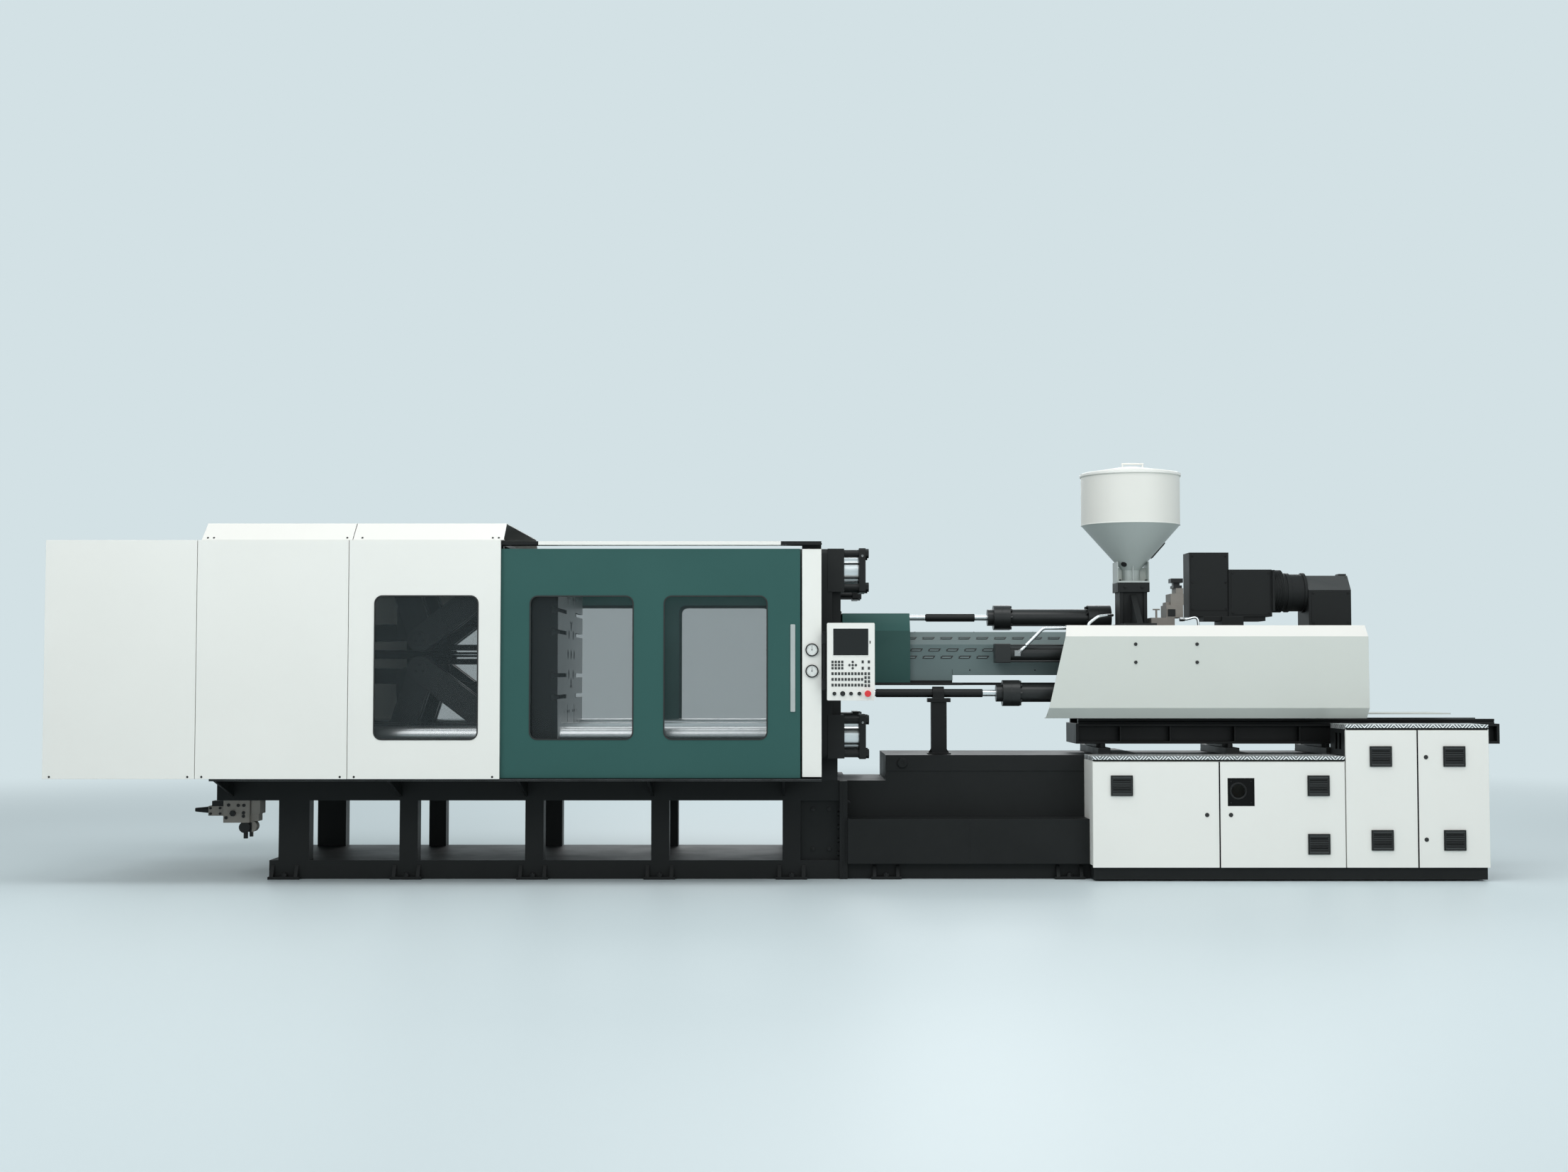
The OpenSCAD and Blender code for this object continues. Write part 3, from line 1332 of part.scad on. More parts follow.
module injection_covers() {
  color(white) {
    injection_cover(house_x - 417, house_x - 568);
    mirror([0, 1, 0]) injection_cover(house_x - 180, house_x - 300);
    block(cover_end + 1, cover_end + 646, -250, 250, rail_top + 33, rail_top + 41);
  }
  color(black) for (x = [house_x + 47, house_x + 470], z = [axis_h + 67, axis_h - 58]) bar_y(x, -icover_y - 4, -icover_y + 1, z, 18);
  color(dark) {
    both() for (x = [house_x, house_x + 1260]) {
      block(x, x + 40, -icover_y + 70, -330, rail_top + 30, rail_top + 40);
      block(x, x + 40, -icover_y + 3.9, -icover_y + 12, rail_top + 80, axis_h + 110);
      along_x(x, 40) polygon([[-icover_y + 4, rail_top + 95], [-icover_y + 12, rail_top + 95], [-icover_y + 80, rail_top + 30],
        [-icover_y + 70, rail_top + 30]]);
    }
    both() block(house_x + 1340, cover_end + 12, -60, -20, rail_top + 30, rail_top + 42);
  }
}

module hopper() {
  r = hopper_d / 2;
  t = hopper_wall;
  base = throat_top + 67;
  color(white) translate([hopper_x, 0, 0]) {
    rotate_extrude() polygon([[63.5 - t, base + 12], [63.5, base + 12], [63.5, cone_low], [r, cone_high], [r, rim_h - 12], [r + 6, rim_h - 12],
      [r + 6, rim_h], [r - t, rim_h], [r - t, cone_high + 2], [63.5 - t, cone_low + 2]]);
    difference() {
      block(-113, 113, -110, 110, base, base + 12);
      translate([0, 0, base - 1]) cylinder(h = 14, d = 119);
    }
    for (s = [-1, 1]) along_x(s * 110 - 3, 6) polygon([[-100, base + 12], [100, base + 12], [100, base + 150], [-100, base + 150]]);
    block(-3, 3, -63.5 - 30, -62, base + 12, base + 120);
  }
  color(grey) translate([hopper_x, 0, 0]) for (s = [-1, 1])
    block(min(s * 62, s * 108), max(s * 62, s * 108), -3, 3, base + 12, base + 110);
}

module hopper_lid() {
  r = hopper_d / 2 + 8;
  color(white) translate([hopper_x, 0, 0]) {
    rotate_extrude() polygon([[0, rim_h + 64], [60, rim_h + 62], [r - 14, rim_h + 15], [r, rim_h + 8], [r, rim_h - 8], [r - 1.2, rim_h - 8],
      [r - 1.2, rim_h + 0.3], [0, rim_h + 0.3]]);
    for (x = [-54, 90]) translate([x, 0, rim_h + 30]) cylinder(h = 56, d = 12);
    bar_x(-60, 97, 0, rim_h + 86, 15);
  }
}

module purge_guard() {
  t = 3;
  w = purge_half_w;
  low = guide_top + shoe_gap;
  side = axis_h + 166;
  top = axis_h + 290;
  color(green) difference() {
    along_x(purge_left, purge_len) difference() {
      polygon([[-w, low], [-w, side], [-w + 68, top], [w - 68, top], [w, side], [w, low]]);
      polygon([[-w + t, low - 1], [-w + t, side - 1], [-w + 69.5, top - t], [w - 69.5, top - t], [w - t, side - 1], [w - t, low - 1]]);
    }
    both() along_y(-w - 1, 20) translate([purge_left + 50, axis_h + 30]) rounded(110, 14, 6);
  }
}

module screw_drive() {
  x = house_x + 400;
  low = rail_top + 80 + shoe_gap;
  deck = axis_h + 269;
  color(dark) {
    difference() {
      union() {
        block(x, x + 330, -320, 320, low + 6, axis_h + 170);
        both() block(x - 4, x + 320, 226, 286, low, low + 7);
        block(x + 329, x + 480, -130, 130, axis_h - 150, deck);
        block(x + 200, x + 640, -110, 110, deck - 31, deck);
      }
      bar_x(x - 5, x + 370, 0, axis_h, 70);
    }
    block(x + 103, x + 383, -105, 105, deck, deck + 456);
    block(x + 380, x + 686, -120, 120, deck, deck + 334);
    block(x + 686, x + 700, -146, 146, deck + 39, deck + 330);
    bar_x(x + 686, x + 775, 0, deck + 184, 292);
    bar_x(x + 775, x + 940, 0, deck + 173, 266);
    along_x(x + 938, 300) polygon([[-150, deck - 64], [150, deck - 64], [150, deck + 293], [-60, deck + 293], [-150, deck + 186]]);
    bar_x(x + 1180, x + 1260, 40, deck + 261, 30);
  }
  color(chrome) for (s = [-1, 1]) translate([0, s * pull_y, axis_h + 6]) {
    bar_x(house_x + house_w - inject_stroke - 41, x + 10, 0, 0, 50);
    bar_x(house_x + house_w - inject_stroke - 80, house_x + house_w - inject_stroke - 40, 0, 0, 80 - 2 * run_gap);
  }
}

module screw() {
  color(chrome) {
    tip = house_x - 1780;
    bar_x(tip + 80, house_x + 760, 0, axis_h, 62);
    bar_x(tip + 120, house_x + 340, 0, axis_h, 80);
    for (i = [0 : 21]) bar_x(tip + 130 + i * 80, tip + 142 + i * 80, 0, axis_h, barrel_bore - 2 * run_gap);
    bar_x(house_x + 680, house_x + 740, 0, axis_h, 70 - 2 * run_gap);
    translate([tip, 0, axis_h]) rotate([0, 90, 0]) cylinder(h = 80, d1 = 12, d2 = 62);
  }
}

module injection_manifold() {
  x = house_x + house_w;
  z = axis_h + 92;
  color(steel) {
    block(x, x + 166, -150, 60, z, z + 168);
    block(x + 108, x + 226, -150, 60, z + 168, z + 258);
    block(x + 140, x + 232, -140, 40, z + 258, z + 338);
    block(x + 180, x + 232, -130, 20, z + 338, z + 378);
  }
  color(black) {
    block(x + 165, x + 225, -120, 0, z + 378, z + 398);
    block(x + 170, x + 215, -90, -30, z + 398, z + 418);
    block(x + 150, x + 235, -110, -10, z + 418, z + 448);
    block(x + 118, x + 170, -155, -150, z + 178, z + 228);
    block(x + 110, x + 150, -120, 0, z + 258, z + 278);
    translate([x + 45, -100, z + 168]) cylinder(h = 60, d = 14);
    bar_x(x + 20, x + 70, -100, z + 228, 10);
    for (d = [38, 88]) bar_y(x + 60, -160, -150, z + d, 40);
  }
}

clamp_bed();
tie_bars();
fixed_platen();
tie_bar_retainers();
guard_frame();
front_cover();
cover_panes();
rear_cover();
roof_cover();
post_covers();
pressure_gauges();
clamp_manifold();
injection_bed();
front_tray();
low_cabinet();
tall_cabinet();
cabinet_tops();
sled_base();
sled_rails();
rod_stand();
carriage_rods();
front_door();
front_door_panes();
front_door_handle();
rear_door();
rear_door_panes();
low_door_left();
low_door_right();
tall_door_left();
tall_door_right();
panel_housing();
panel_screen();
emergency_stop();
selector_switch();
start_button();
stop_button();
reset_button();
moving_platen();
ejector();
tail_stock();
clamp_cylinder();
adjusting_nuts();
crosshead();
rear_link_upper();
rear_link_lower();
front_link_upper();
front_link_lower();
crosshead_link_upper();
crosshead_link_lower();
injection_housing();
barrel();
barrel_cover();
cylinders();
injection_covers();
hopper();
hopper_lid();
purge_guard();
screw_drive();
screw();
injection_manifold();
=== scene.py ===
"""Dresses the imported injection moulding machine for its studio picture.

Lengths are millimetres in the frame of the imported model, and metres in its meshes and in the studio.
X runs from the clamp end to the injection end, Y from the operator's side to the rear, Z up.
"""

from __future__ import annotations

import json
import logging
import math
from dataclasses import dataclass, field, replace
from enum import Enum
from functools import reduce
from itertools import product
from typing import Iterable, Sequence

import bmesh
import bpy
from bmesh.types import BMesh
from bpy.types import ID, Material, Mesh, NodeSocket, NodeTree, Object, World, bpy_prop_collection
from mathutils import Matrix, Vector

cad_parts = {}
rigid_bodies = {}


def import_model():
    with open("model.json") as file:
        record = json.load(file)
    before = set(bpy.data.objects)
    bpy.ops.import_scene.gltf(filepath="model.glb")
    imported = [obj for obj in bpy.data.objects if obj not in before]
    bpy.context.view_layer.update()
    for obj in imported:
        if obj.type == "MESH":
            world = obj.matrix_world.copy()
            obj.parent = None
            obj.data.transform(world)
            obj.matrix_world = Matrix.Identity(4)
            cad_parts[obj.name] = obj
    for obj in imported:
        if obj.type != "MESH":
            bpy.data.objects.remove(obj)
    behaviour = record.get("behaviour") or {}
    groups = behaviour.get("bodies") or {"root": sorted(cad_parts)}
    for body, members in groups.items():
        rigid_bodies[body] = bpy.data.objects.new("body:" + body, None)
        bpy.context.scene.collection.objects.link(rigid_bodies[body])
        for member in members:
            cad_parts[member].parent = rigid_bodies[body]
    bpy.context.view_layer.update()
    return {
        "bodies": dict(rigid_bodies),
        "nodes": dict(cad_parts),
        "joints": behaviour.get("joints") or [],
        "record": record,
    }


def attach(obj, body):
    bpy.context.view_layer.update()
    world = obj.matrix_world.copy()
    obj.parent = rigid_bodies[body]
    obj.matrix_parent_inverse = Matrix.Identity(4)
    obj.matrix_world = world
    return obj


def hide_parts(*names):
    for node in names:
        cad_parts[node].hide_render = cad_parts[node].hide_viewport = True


LOG = logging.getLogger("machine")
MM = 0.001
Point = tuple[float, float, float]
Span = tuple[float, float]
Zone = tuple[Span, Span, Span]
Spot = tuple[Point, Point]
ANY: Span = (-1.0e5, 1.0e5)
ORIGIN: Point = (0.0, 0.0, 0.0)

# Ways that a screw or a bolt can face
FRONT: Point = (0.0, -1.0, 0.0)
REAR: Point = (0.0, 1.0, 0.0)
LEFT: Point = (-1.0, 0.0, 0.0)
RIGHT: Point = (1.0, 0.0, 0.0)
UP: Point = (0.0, 0.0, 1.0)
# Both sides of the machine, as the sign of Y and the way out
SIDES: tuple[tuple[int, Point], ...] = ((-1, FRONT), (1, REAR))
# Height of the machine's axis above the floor
AXIS_H = 1530.0
# Edges that turn by more than this many degrees are softened
SHARP = 40.0
# How far in millimetres a bevel may move the box of its piece
DRIFT = 1.5


class Axis(Enum):
    """An axis of the machine, as its place in a point."""

    X = 0
    Y = 1
    Z = 2


class Head(Enum):
    """Screw heads as stacked discs: radius, top radius, low, high and sides, in shares of the width."""

    HEX = ((0.68, 0.68, 0.0, 0.1, 20), (0.577, 0.577, 0.1, 0.6, 6), (0.3, 0.26, 0.6, 0.72, 12))
    CAP = ((0.29, 0.29, 0.0, 0.25, 6),)
    BUTTON = ((0.5, 0.44, 0.0, 0.12, 16), (0.44, 0.26, 0.12, 0.26, 16))


def linear(code: str) -> tuple[float, float, float, float]:
    """Turns an sRGB hex colour into Blender's linear colour.

    Args:
        code: six hex digits with a leading hash.

    Returns:
        Red, green, blue and an alpha of one.
    """
    shares = [int(code[i : i + 2], 16) / 255 for i in (1, 3, 5)]
    lit = [v / 12.92 if v <= 0.04045 else ((v + 0.055) / 1.055) ** 2.4 for v in shares]
    return (lit[0], lit[1], lit[2], 1.0)


def add_node(
    tree: NodeTree,
    kind: str,
    settings: dict[str | int, object] | None = None,
    links: dict[str | int, NodeSocket] | None = None,
) -> bpy_prop_collection:
    """Adds a node with its settings and links.

    Args:
        tree: the tree that takes the node.
        kind: the node's type name.
        settings: properties by name, or default values of inputs by name or number.
        links: sockets to join to the inputs, by name or number.

    Returns:
        The new node's outputs.
    """
    made = tree.nodes.new(kind)
    for key, value in (settings or {}).items():
        if isinstance(key, str) and hasattr(made, key):
            setattr(made, key, value)
        else:
            made.inputs[key].default_value = value
    for key, socket in (links or {}).items():
        tree.links.new(socket, made.inputs[key])
    return made.outputs


def folded(tree: NodeTree, operation: str, values: Sequence[NodeSocket]) -> NodeSocket:
    """Joins the values of sockets pair by pair with one operation."""
    joint = {"operation": operation}
    return reduce(lambda a, b: add_node(tree, "ShaderNodeMath", joint, {0: a, 1: b})[0], values)


def emptied(owner: Material | World) -> NodeTree:
    """Empties the node tree of a material or a world.

    Args:
        owner: the material or the world.

    Returns:
        Its tree, without nodes.
    """
    owner.use_nodes = True
    owner.node_tree.nodes.clear()
    return owner.node_tree


@dataclass(frozen=True)
class Finish:
    """A surface finish of the machine, named for what the real one is made of.

    In millimetres, grain and relief are the size and depth of its texture, patch the size of its
    uneven areas, tread the step of its raised bars, and edge the rounding that the light picks out.
    Wear and highlight is the colour on the edges: worn metal on most finishes, a painted highlight on the
    links and the charcoal enamel.
    """

    name: str
    colour: str
    roughness: float
    metallic: float = 0.0
    grain: float = 4.0
    relief: float = 0.05
    mottle: float = 0.05
    patch: float = 500.0
    uneven: float = 0.06
    stretch: Point = (1.0, 1.0, 1.0)
    edge: float = 2.5
    wear_and_highlight: str = ""
    alpha: float = 1.0
    coat: float = 0.0
    gloss: float = 0.5
    tread: float = 0.0
    bar_highlight: str = "#F4F6F6"

    def bars(self, tree: NodeTree, place: NodeSocket) -> NodeSocket:
        """Builds the raised bars of tread plate, which lean the other way from one square to the next.

        Args:
            tree: the material's tree.
            place: the socket of the object's coordinates.

        Returns:
            A value that is one on a bar.
        """
        parts = add_node(tree, "ShaderNodeSeparateXYZ", {}, {0: place})
        deep = folded(tree, "ADD", (parts[1], parts[2]))
        flat = add_node(tree, "ShaderNodeCombineXYZ", {}, {0: parts[0], 1: deep})[0]
        step = self.tread * MM
        square = add_node(tree, "ShaderNodeTexChecker", {"Scale": 1 / (3 * step)}, {"Vector": flat})[1]
        leans = []
        for operation in ("ADD", "SUBTRACT"):
            lean = folded(tree, operation, (parts[0], deep))
            wave = add_node(tree, "ShaderNodeMath", {"operation": "PINGPONG", 1: step / 2}, {0: lean})[0]
            ridge = {"operation": "GREATER_THAN", 1: step * 0.3}
            leans.append(add_node(tree, "ShaderNodeMath", ridge, {0: wave})[0])
        turns = {0: square, 2: leans[0], 3: leans[1]}
        return add_node(tree, "ShaderNodeMix", {"data_type": "FLOAT"}, turns)[0]

    def shader(self, tree: NodeTree) -> NodeSocket:
        """Builds the finish's nodes.

        Args:
            tree: the material's tree.

        Returns:
            The socket of the finished shader.
        """
        place = add_node(tree, "ShaderNodeTexCoord")["Object"]
        run = add_node(tree, "ShaderNodeMapping", {"Scale": self.stretch}, {"Vector": place})[0]
        fine = {"Scale": 1 / (self.grain * MM), "Detail": 3.0, "Roughness": 0.55}
        grain = add_node(tree, "ShaderNodeTexNoise", fine, {"Vector": run})[0]
        broad = {"Scale": 1 / (self.patch * MM), "Detail": 5.0, "Roughness": 0.6}
        patch = add_node(tree, "ShaderNodeTexNoise", broad, {"Vector": place})[0]
        # Noise lies mostly between these two levels
        levels = {1: 0.3, 2: 0.7}
        spread = add_node(tree, "ShaderNodeMapRange", levels, {0: patch})[0]
        mix: dict[str | int, object] = {"data_type": "RGBA"}
        pale = linear(self.colour)
        deep = tuple(c * (1 - 2 * self.mottle) for c in pale[:3]) + (1.0,)
        colour = add_node(tree, "ShaderNodeMix", mix | {6: deep, 7: pale}, {0: spread})[2]
        # Tread plate's bars in a pale colour: a painted highlight
        if self.tread:
            ends = {0: self.bars(tree, place), 6: colour}
            colour = add_node(tree, "ShaderNodeMix", mix | {7: linear(self.bar_highlight)}, ends)[2]
        shape: dict[str | int, NodeSocket] = {"Height": grain}
        if self.edge:
            round_edge = {"samples": 4, "Radius": self.edge * MM}
            shape["Normal"] = add_node(tree, "ShaderNodeBevel", round_edge)[0]
        if self.wear_and_highlight:
            # Edge colour, worn metal on most finishes and a painted highlight on the links and the charcoal
            # enamel:
            # at most 60 % where the rounding turns the surface by 37 degrees, and none below 14
            true = add_node(tree, "ShaderNodeNewGeometry")["Normal"]
            both = {0: shape["Normal"], 1: true}
            turn = add_node(tree, "ShaderNodeVectorMath", {"operation": "DOT_PRODUCT"}, both)[1]
            wear_and_highlight_share = add_node(tree, "ShaderNodeMapRange", {1: 0.8, 2: 0.97, 3: 0.6, 4: 0.0}, {0: turn})[0]
            ends = {0: folded(tree, "MULTIPLY", (wear_and_highlight_share, spread)), 6: colour}
            colour = add_node(tree, "ShaderNodeMix", mix | {7: linear(self.wear_and_highlight)}, ends)[2]
        limits = {3: max(0.02, self.roughness - self.uneven), 4: min(1.0, self.roughness + self.uneven)}
        rough = add_node(tree, "ShaderNodeMapRange", levels | limits, {0: patch})[0]
        bump = add_node(tree, "ShaderNodeBump", {"Strength": 1.0, "Distance": self.relief * MM}, shape)[0]
        body = {
            "Metallic": self.metallic,
            "Alpha": self.alpha,
            "Specular IOR Level": self.gloss,
            "Coat Weight": self.coat,
            "Coat Roughness": 0.1,
        }
        skin = {"Base Color": colour, "Roughness": rough, "Normal": bump}
        return add_node(tree, "ShaderNodeBsdfPrincipled", body, skin)[0]

    def material(self) -> Material:
        """Returns the material of parts that wear this finish alone."""
        return Coat(self).material()


@dataclass(frozen=True)
class Coat:
    """A finish, with the zones of a part that wear another one, such as unpainted rods in a painted block."""

    base: Finish
    title: str = ""
    zones: dict[Finish, tuple[Zone, ...]] = field(default_factory=dict)

    def mask(self, tree: NodeTree, box: Zone) -> NodeSocket:
        """Builds a value that is one inside a box of the frame.

        Args:
            tree: the material's tree.
            box: its spans along X, Y and Z in millimetres.

        Returns:
            The socket of that value.
        """
        place = add_node(tree, "ShaderNodeTexCoord")["Object"]
        parts = add_node(tree, "ShaderNodeSeparateXYZ", {}, {0: place})
        within = []
        for part, (low, high) in zip(parts, box):
            if (low, high) != ANY:
                near = {"operation": "COMPARE", 1: (low + high) / 2 * MM, 2: (high - low) / 2 * MM}
                within.append(add_node(tree, "ShaderNodeMath", near, {0: part})[0])
        return folded(tree, "MULTIPLY", within)

    def material(self) -> Material:
        """Builds the material, the first time that a part wears it.

        Returns:
            The one material of this coat.
        """
        label = self.title or self.base.name
        known = bpy.data.materials.get(label)
        if known:
            return known
        made = bpy.data.materials.new(label)
        tree = emptied(made)
        surface = self.base.shader(tree)
        for finish, boxes in self.zones.items():
            share = folded(tree, "MAXIMUM", [self.mask(tree, box) for box in boxes])
            ends = {0: share, 1: surface, 2: finish.shader(tree)}
            surface = add_node(tree, "ShaderNodeMixShader", {}, ends)[0]
        add_node(tree, "ShaderNodeOutputMaterial", {}, {"Surface": surface})
        made.diffuse_color = linear(self.base.colour)
        return made


def zone(x: Span = ANY, y: Span = ANY, z: Span = ANY) -> Zone:
    """Names a box by the spans that bound it; it is endless along the others."""
    return (x, y, z)


# Powder coat baked on steel sheet: pale and even, with a faint orange peel
POWDER_WHITE = Finish(
    "powder_coat_white", "#E9EAE5", 0.42, 0.0, 3.0, 0.03, mottle=0.012, patch=900, uneven=0.04, gloss=0.35
)
# Greyer copy of the white coat: painted shade on the injection unit's hoods; also the hopper's pale webs
POWDER_PALE_AND_PAINTED_SHADE = replace(POWDER_WHITE, name="powder_coat_pale", colour="#CDD2CC")
# The warmer white of the hopper's rolled shell
POWDER_WARM = replace(POWDER_WHITE, name="powder_coat_warm", colour="#DDDED8")
# The greyer coat of the hopper's cone and neck: painted shade where the cone faces down
POWDER_PAINTED_SHADE_GREY = Finish("powder_coat_grey", "#B0B8B5", 0.45, grain=3.0, relief=0.03, mottle=0.03)
# Two-part enamel on the guard doors: deep green, with a dull sheen
ENAMEL_GREEN = Finish(
    "enamel_green", "#305854", 0.4, relief=0.03, mottle=0.03, patch=700, wear_and_highlight="#4D716E", gloss=0.2
)
# A darker copy of the same enamel: painted shade on the purge guard's upright sides, turned from the lamps
ENAMEL_GREEN_PAINTED_SHADE = replace(
    ENAMEL_GREEN, name="enamel_deep_green", colour="#284A46", roughness=0.42, wear_and_highlight="#456864"
)
# Charcoal enamel rolled on welded plate: a coarse film; pale edges are worn metal and a painted highlight
ENAMEL_CHARCOAL = Finish(
    "enamel_charcoal", "#202222", 0.5, 0.0, 9.0, relief=0.1, mottle=0.1, patch=350, wear_and_highlight="#5C5F5F", gloss=0.13
)
# Blacker copy of the charcoal enamel: painted shade on the sled and the stand, which lie in the covers' shade
ENAMEL_BLACK_PAINTED_SHADE = replace(
    ENAMEL_CHARCOAL,
    name="enamel_black",
    colour="#131414",
    roughness=0.48,
    relief=0.08,
    wear_and_highlight="#2E3030",
    gloss=0.2,
)
# Lighter grey: painted sheen on the motor's sloping lid where it catches the light, and the filters' hoods
ENAMEL_SLATE_AND_PAINTED_SHEEN = Finish("enamel_slate", "#3C3F3F", 0.46, 0.0, 9.0, 0.08, mottle=0.08, patch=350, gloss=0.3)
# Semi-gloss paint sprayed on turned cylinder tubes and their flanges
CYLINDER_PAINT = Finish(
    "cylinder_paint", "#222424", 0.34, 0.0, 5.0, 0.03, mottle=0.06, patch=300, wear_and_highlight="#454848", gloss=0.35
)
# The charcoal enamel over sand-cast iron, whose skin stays rough under the paint
CAST_CHARCOAL = Finish(
    "cast_iron_painted", "#222424", 0.55, 0.0, 6.0, 0.12, mottle=0.12, patch=250, wear_and_highlight="#505354", gloss=0.18
)
# Grey enamel on the pressed barrel cover
ENAMEL_GREY = Finish("enamel_grey", "#607070", 0.4, relief=0.03, mottle=0.04, wear_and_highlight="#86918F", gloss=0.3)
# Hard chrome ground round the bar: mirror-like, with fine rings across its length
HARD_CHROME = Finish(
    "hard_chrome", "#DDE0E1", 0.25, 1.0, 2.0, 0.002, 0.01, uneven=0.02, edge=0.0, stretch=(1, 0.05, 0.05)
)
# Bare steel milled flat: grey, with tool marks along its length
MILLED_STEEL = Finish(
    "milled_steel", "#9A9C9C", 0.38, 1.0, grain=3.0, mottle=0.1, patch=120, stretch=(0.08, 1.0, 1.0)
)
# Cast aluminium or nickel-plated valve blocks: pale warm grey, softly blasted
BLASTED_GREY = Finish("blasted_valve_block", "#858079", 0.55, 0.3, 3.0, relief=0.08, mottle=0.1, patch=90)
# Hot-dip zinc on thin sheet: spangled pale grey
ZINC_SHEET = Finish("zinc_sheet", "#B9BEBE", 0.4, 0.8, grain=14.0, relief=0.02, mottle=0.16, patch=22)
# Drawn aluminium bar, satin anodised: the pull handle
ANODISED = Finish(
    "anodised_aluminium", "#B4BAB8", 0.36, 0.4, 2.0, relief=0.01, mottle=0.02, patch=200, stretch=(1, 1, 0.05)
)
# Aluminium tread plate on top of the cabinets, with raised bars drawn in a near-white painted highlight
TREAD_PLATE = Finish("aluminium_tread_plate", "#6E7475", 0.4, 0.5, grain=3.0, mottle=0.1, patch=60, tread=22)
# Phosphated and oiled steel of hydraulic pieces and screws: near black with a soft sheen
BLACK_OXIDE = Finish(
    "black_oxide_steel", "#1C1D1D", 0.42, 0.3, 3.0, 0.04, mottle=0.1, patch=120, wear_and_highlight="#3D3F40", gloss=0.3
)
# Forged links and their pin caps, machined and blackened; their pale edges are a painted highlight
LINK_STEEL = Finish(
    "forged_link_steel", "#2C2F30", 0.42, 0.3, 5.0, 0.03, mottle=0.1, patch=200, edge=5.0, wear_and_highlight="#A2A7A8"
)
# Injection-moulded ABS of buttons, locks and marks
ABS_BLACK = Finish("abs_black", "#151616", 0.5, grain=1.2, relief=0.02, mottle=0.03, edge=0.8)
# Matt black ABS of the fan port; also painted shade along the doors' seams and in the platen's holes
MATT_BLACK_AND_PAINTED_SHADE = replace(ABS_BLACK, name="abs_matt_black", colour="#0D0E0E", roughness=0.6, gloss=0.1)
# Key caps: dark grey ABS
ABS_KEY = replace(ABS_BLACK, name="abs_key", colour="#2E3131")
# Gloss polycarbonate of the stop button
CAP_RED = Finish("polycarbonate_red", "#D8262C", 0.22, 0.0, 2.0, relief=0.01, mottle=0.02, edge=1.5, coat=0.4)
# Toughened screen glass, switched off
SCREEN_GLASS = Finish("screen_glass", "#1C1F1F", 0.12, grain=50.0, relief=0.0, mottle=0.02, gloss=0.3)
# Clear polycarbonate sheet, tinted by its thickness
CLEAR_PANE = Finish(
    "polycarbonate_clear", "#3A4244", 0.05, grain=300.0, relief=0.0, mottle=0.02, alpha=0.23, gloss=0.3
)
# Thin clear glass in front of the gauges' dials
GAUGE_GLASS = Finish("gauge_glass", "#DDE4E4", 0.05, grain=300.0, relief=0.0, alpha=0.12)
# Extruded rubber of gaskets and hoses
RUBBER = Finish("rubber_black", "#161717", 0.6, grain=1.5, relief=0.03, edge=1.0)
# White enamel of the gauge dials, and of the panel's bezel and collars
DIAL_WHITE = Finish("dial_enamel", "#EEF0EC", 0.35, relief=0.0, mottle=0.01)

# Tie rods of the carriage, with black sleeves on their middles and black flanges
CARRIAGE_RODS = Coat(
    HARD_CHROME,
    "chromed_rods_in_black_sleeves",
    {BLACK_OXIDE: (zone((560, 1312), z=(1200, 1300)), zone((950, 1312), z=(1750, 1850)), zone((300, 342)))},
)
# Cabinet doors, with the filters' hoods, black seam edges as painted shade in the gaps, and the fan port
CABINET_DOORS = Coat(
    POWDER_WHITE,
    "white_door_with_dark_hoods",
    {
        ENAMEL_SLATE_AND_PAINTED_SHEEN: tuple(
            zone(x, (-900.0, -800.6)) for x in ((2115, 2270), (3436, 3590), (3857, 4015), (4348, 4505))
        ),
        MATT_BLACK_AND_PAINTED_SHADE: (zone((2844, 2854)), zone((4177, 4187)), zone((2903, 3084), (-900, -791), (504, 692))),
    },
)
# Control panel, on the arms that carry it, which take the blacker enamel as painted shade
PANEL = Coat(POWDER_WHITE, "white_panel_on_dark_arms", {ENAMEL_BLACK_PAINTED_SHADE: (zone((150, 203.6)),)})
# Valves on top and in front of the injection unit's block
VALVE_STACK = Coat(
    BLASTED_GREY,
    "valve_stack_with_black_valves",
    {BLACK_OXIDE: (zone(z=(2000.2, 2100)), zone(y=(-170, -150.2)))},
)
# Depth and height of the foot and the two uprights of each bracket that carries the covers
BRACKET: tuple[tuple[Span, Span], ...] = (
    ((-446, 446), (1104, 1119)),
    ((-495.9, -487), (1160, 1641)),
    ((487, 495.9), (1160, 1641)),
)
# Injection covers: charcoal brackets and inner faces, hoods in painted shade, top edge in painted highlight
INJECTION_COVERS = Coat(
    POWDER_PALE_AND_PAINTED_SHADE,
    "pale_hoods_on_dark_brackets",
    {
        ENAMEL_CHARCOAL: tuple(
            zone(x, y, z) for x in ((2299, 2341), (3559, 3601)) for y, z in BRACKET
        )
        + (zone((3639, 3966), (-61, 61), (1104, 1120)), zone(y=(-506, -500.3))),
        POWDER_WHITE: (zone(z=(1651, 1740)),),
    },
)
# Hopper: its cone and neck in painted shade, and the pale webs beside the neck
HOPPER = Coat(
    POWDER_WARM,
    "hopper_white_over_grey_cone",
    {
        POWDER_PAINTED_SHADE_GREY: (zone(z=(2040, 2455)),),
        POWDER_PALE_AND_PAINTED_SHADE: tuple(zone(x, (-3.4, 3.4), (2054, 2164)) for x in ((2298, 2343.6), (2468.4, 2514))),
    },
)
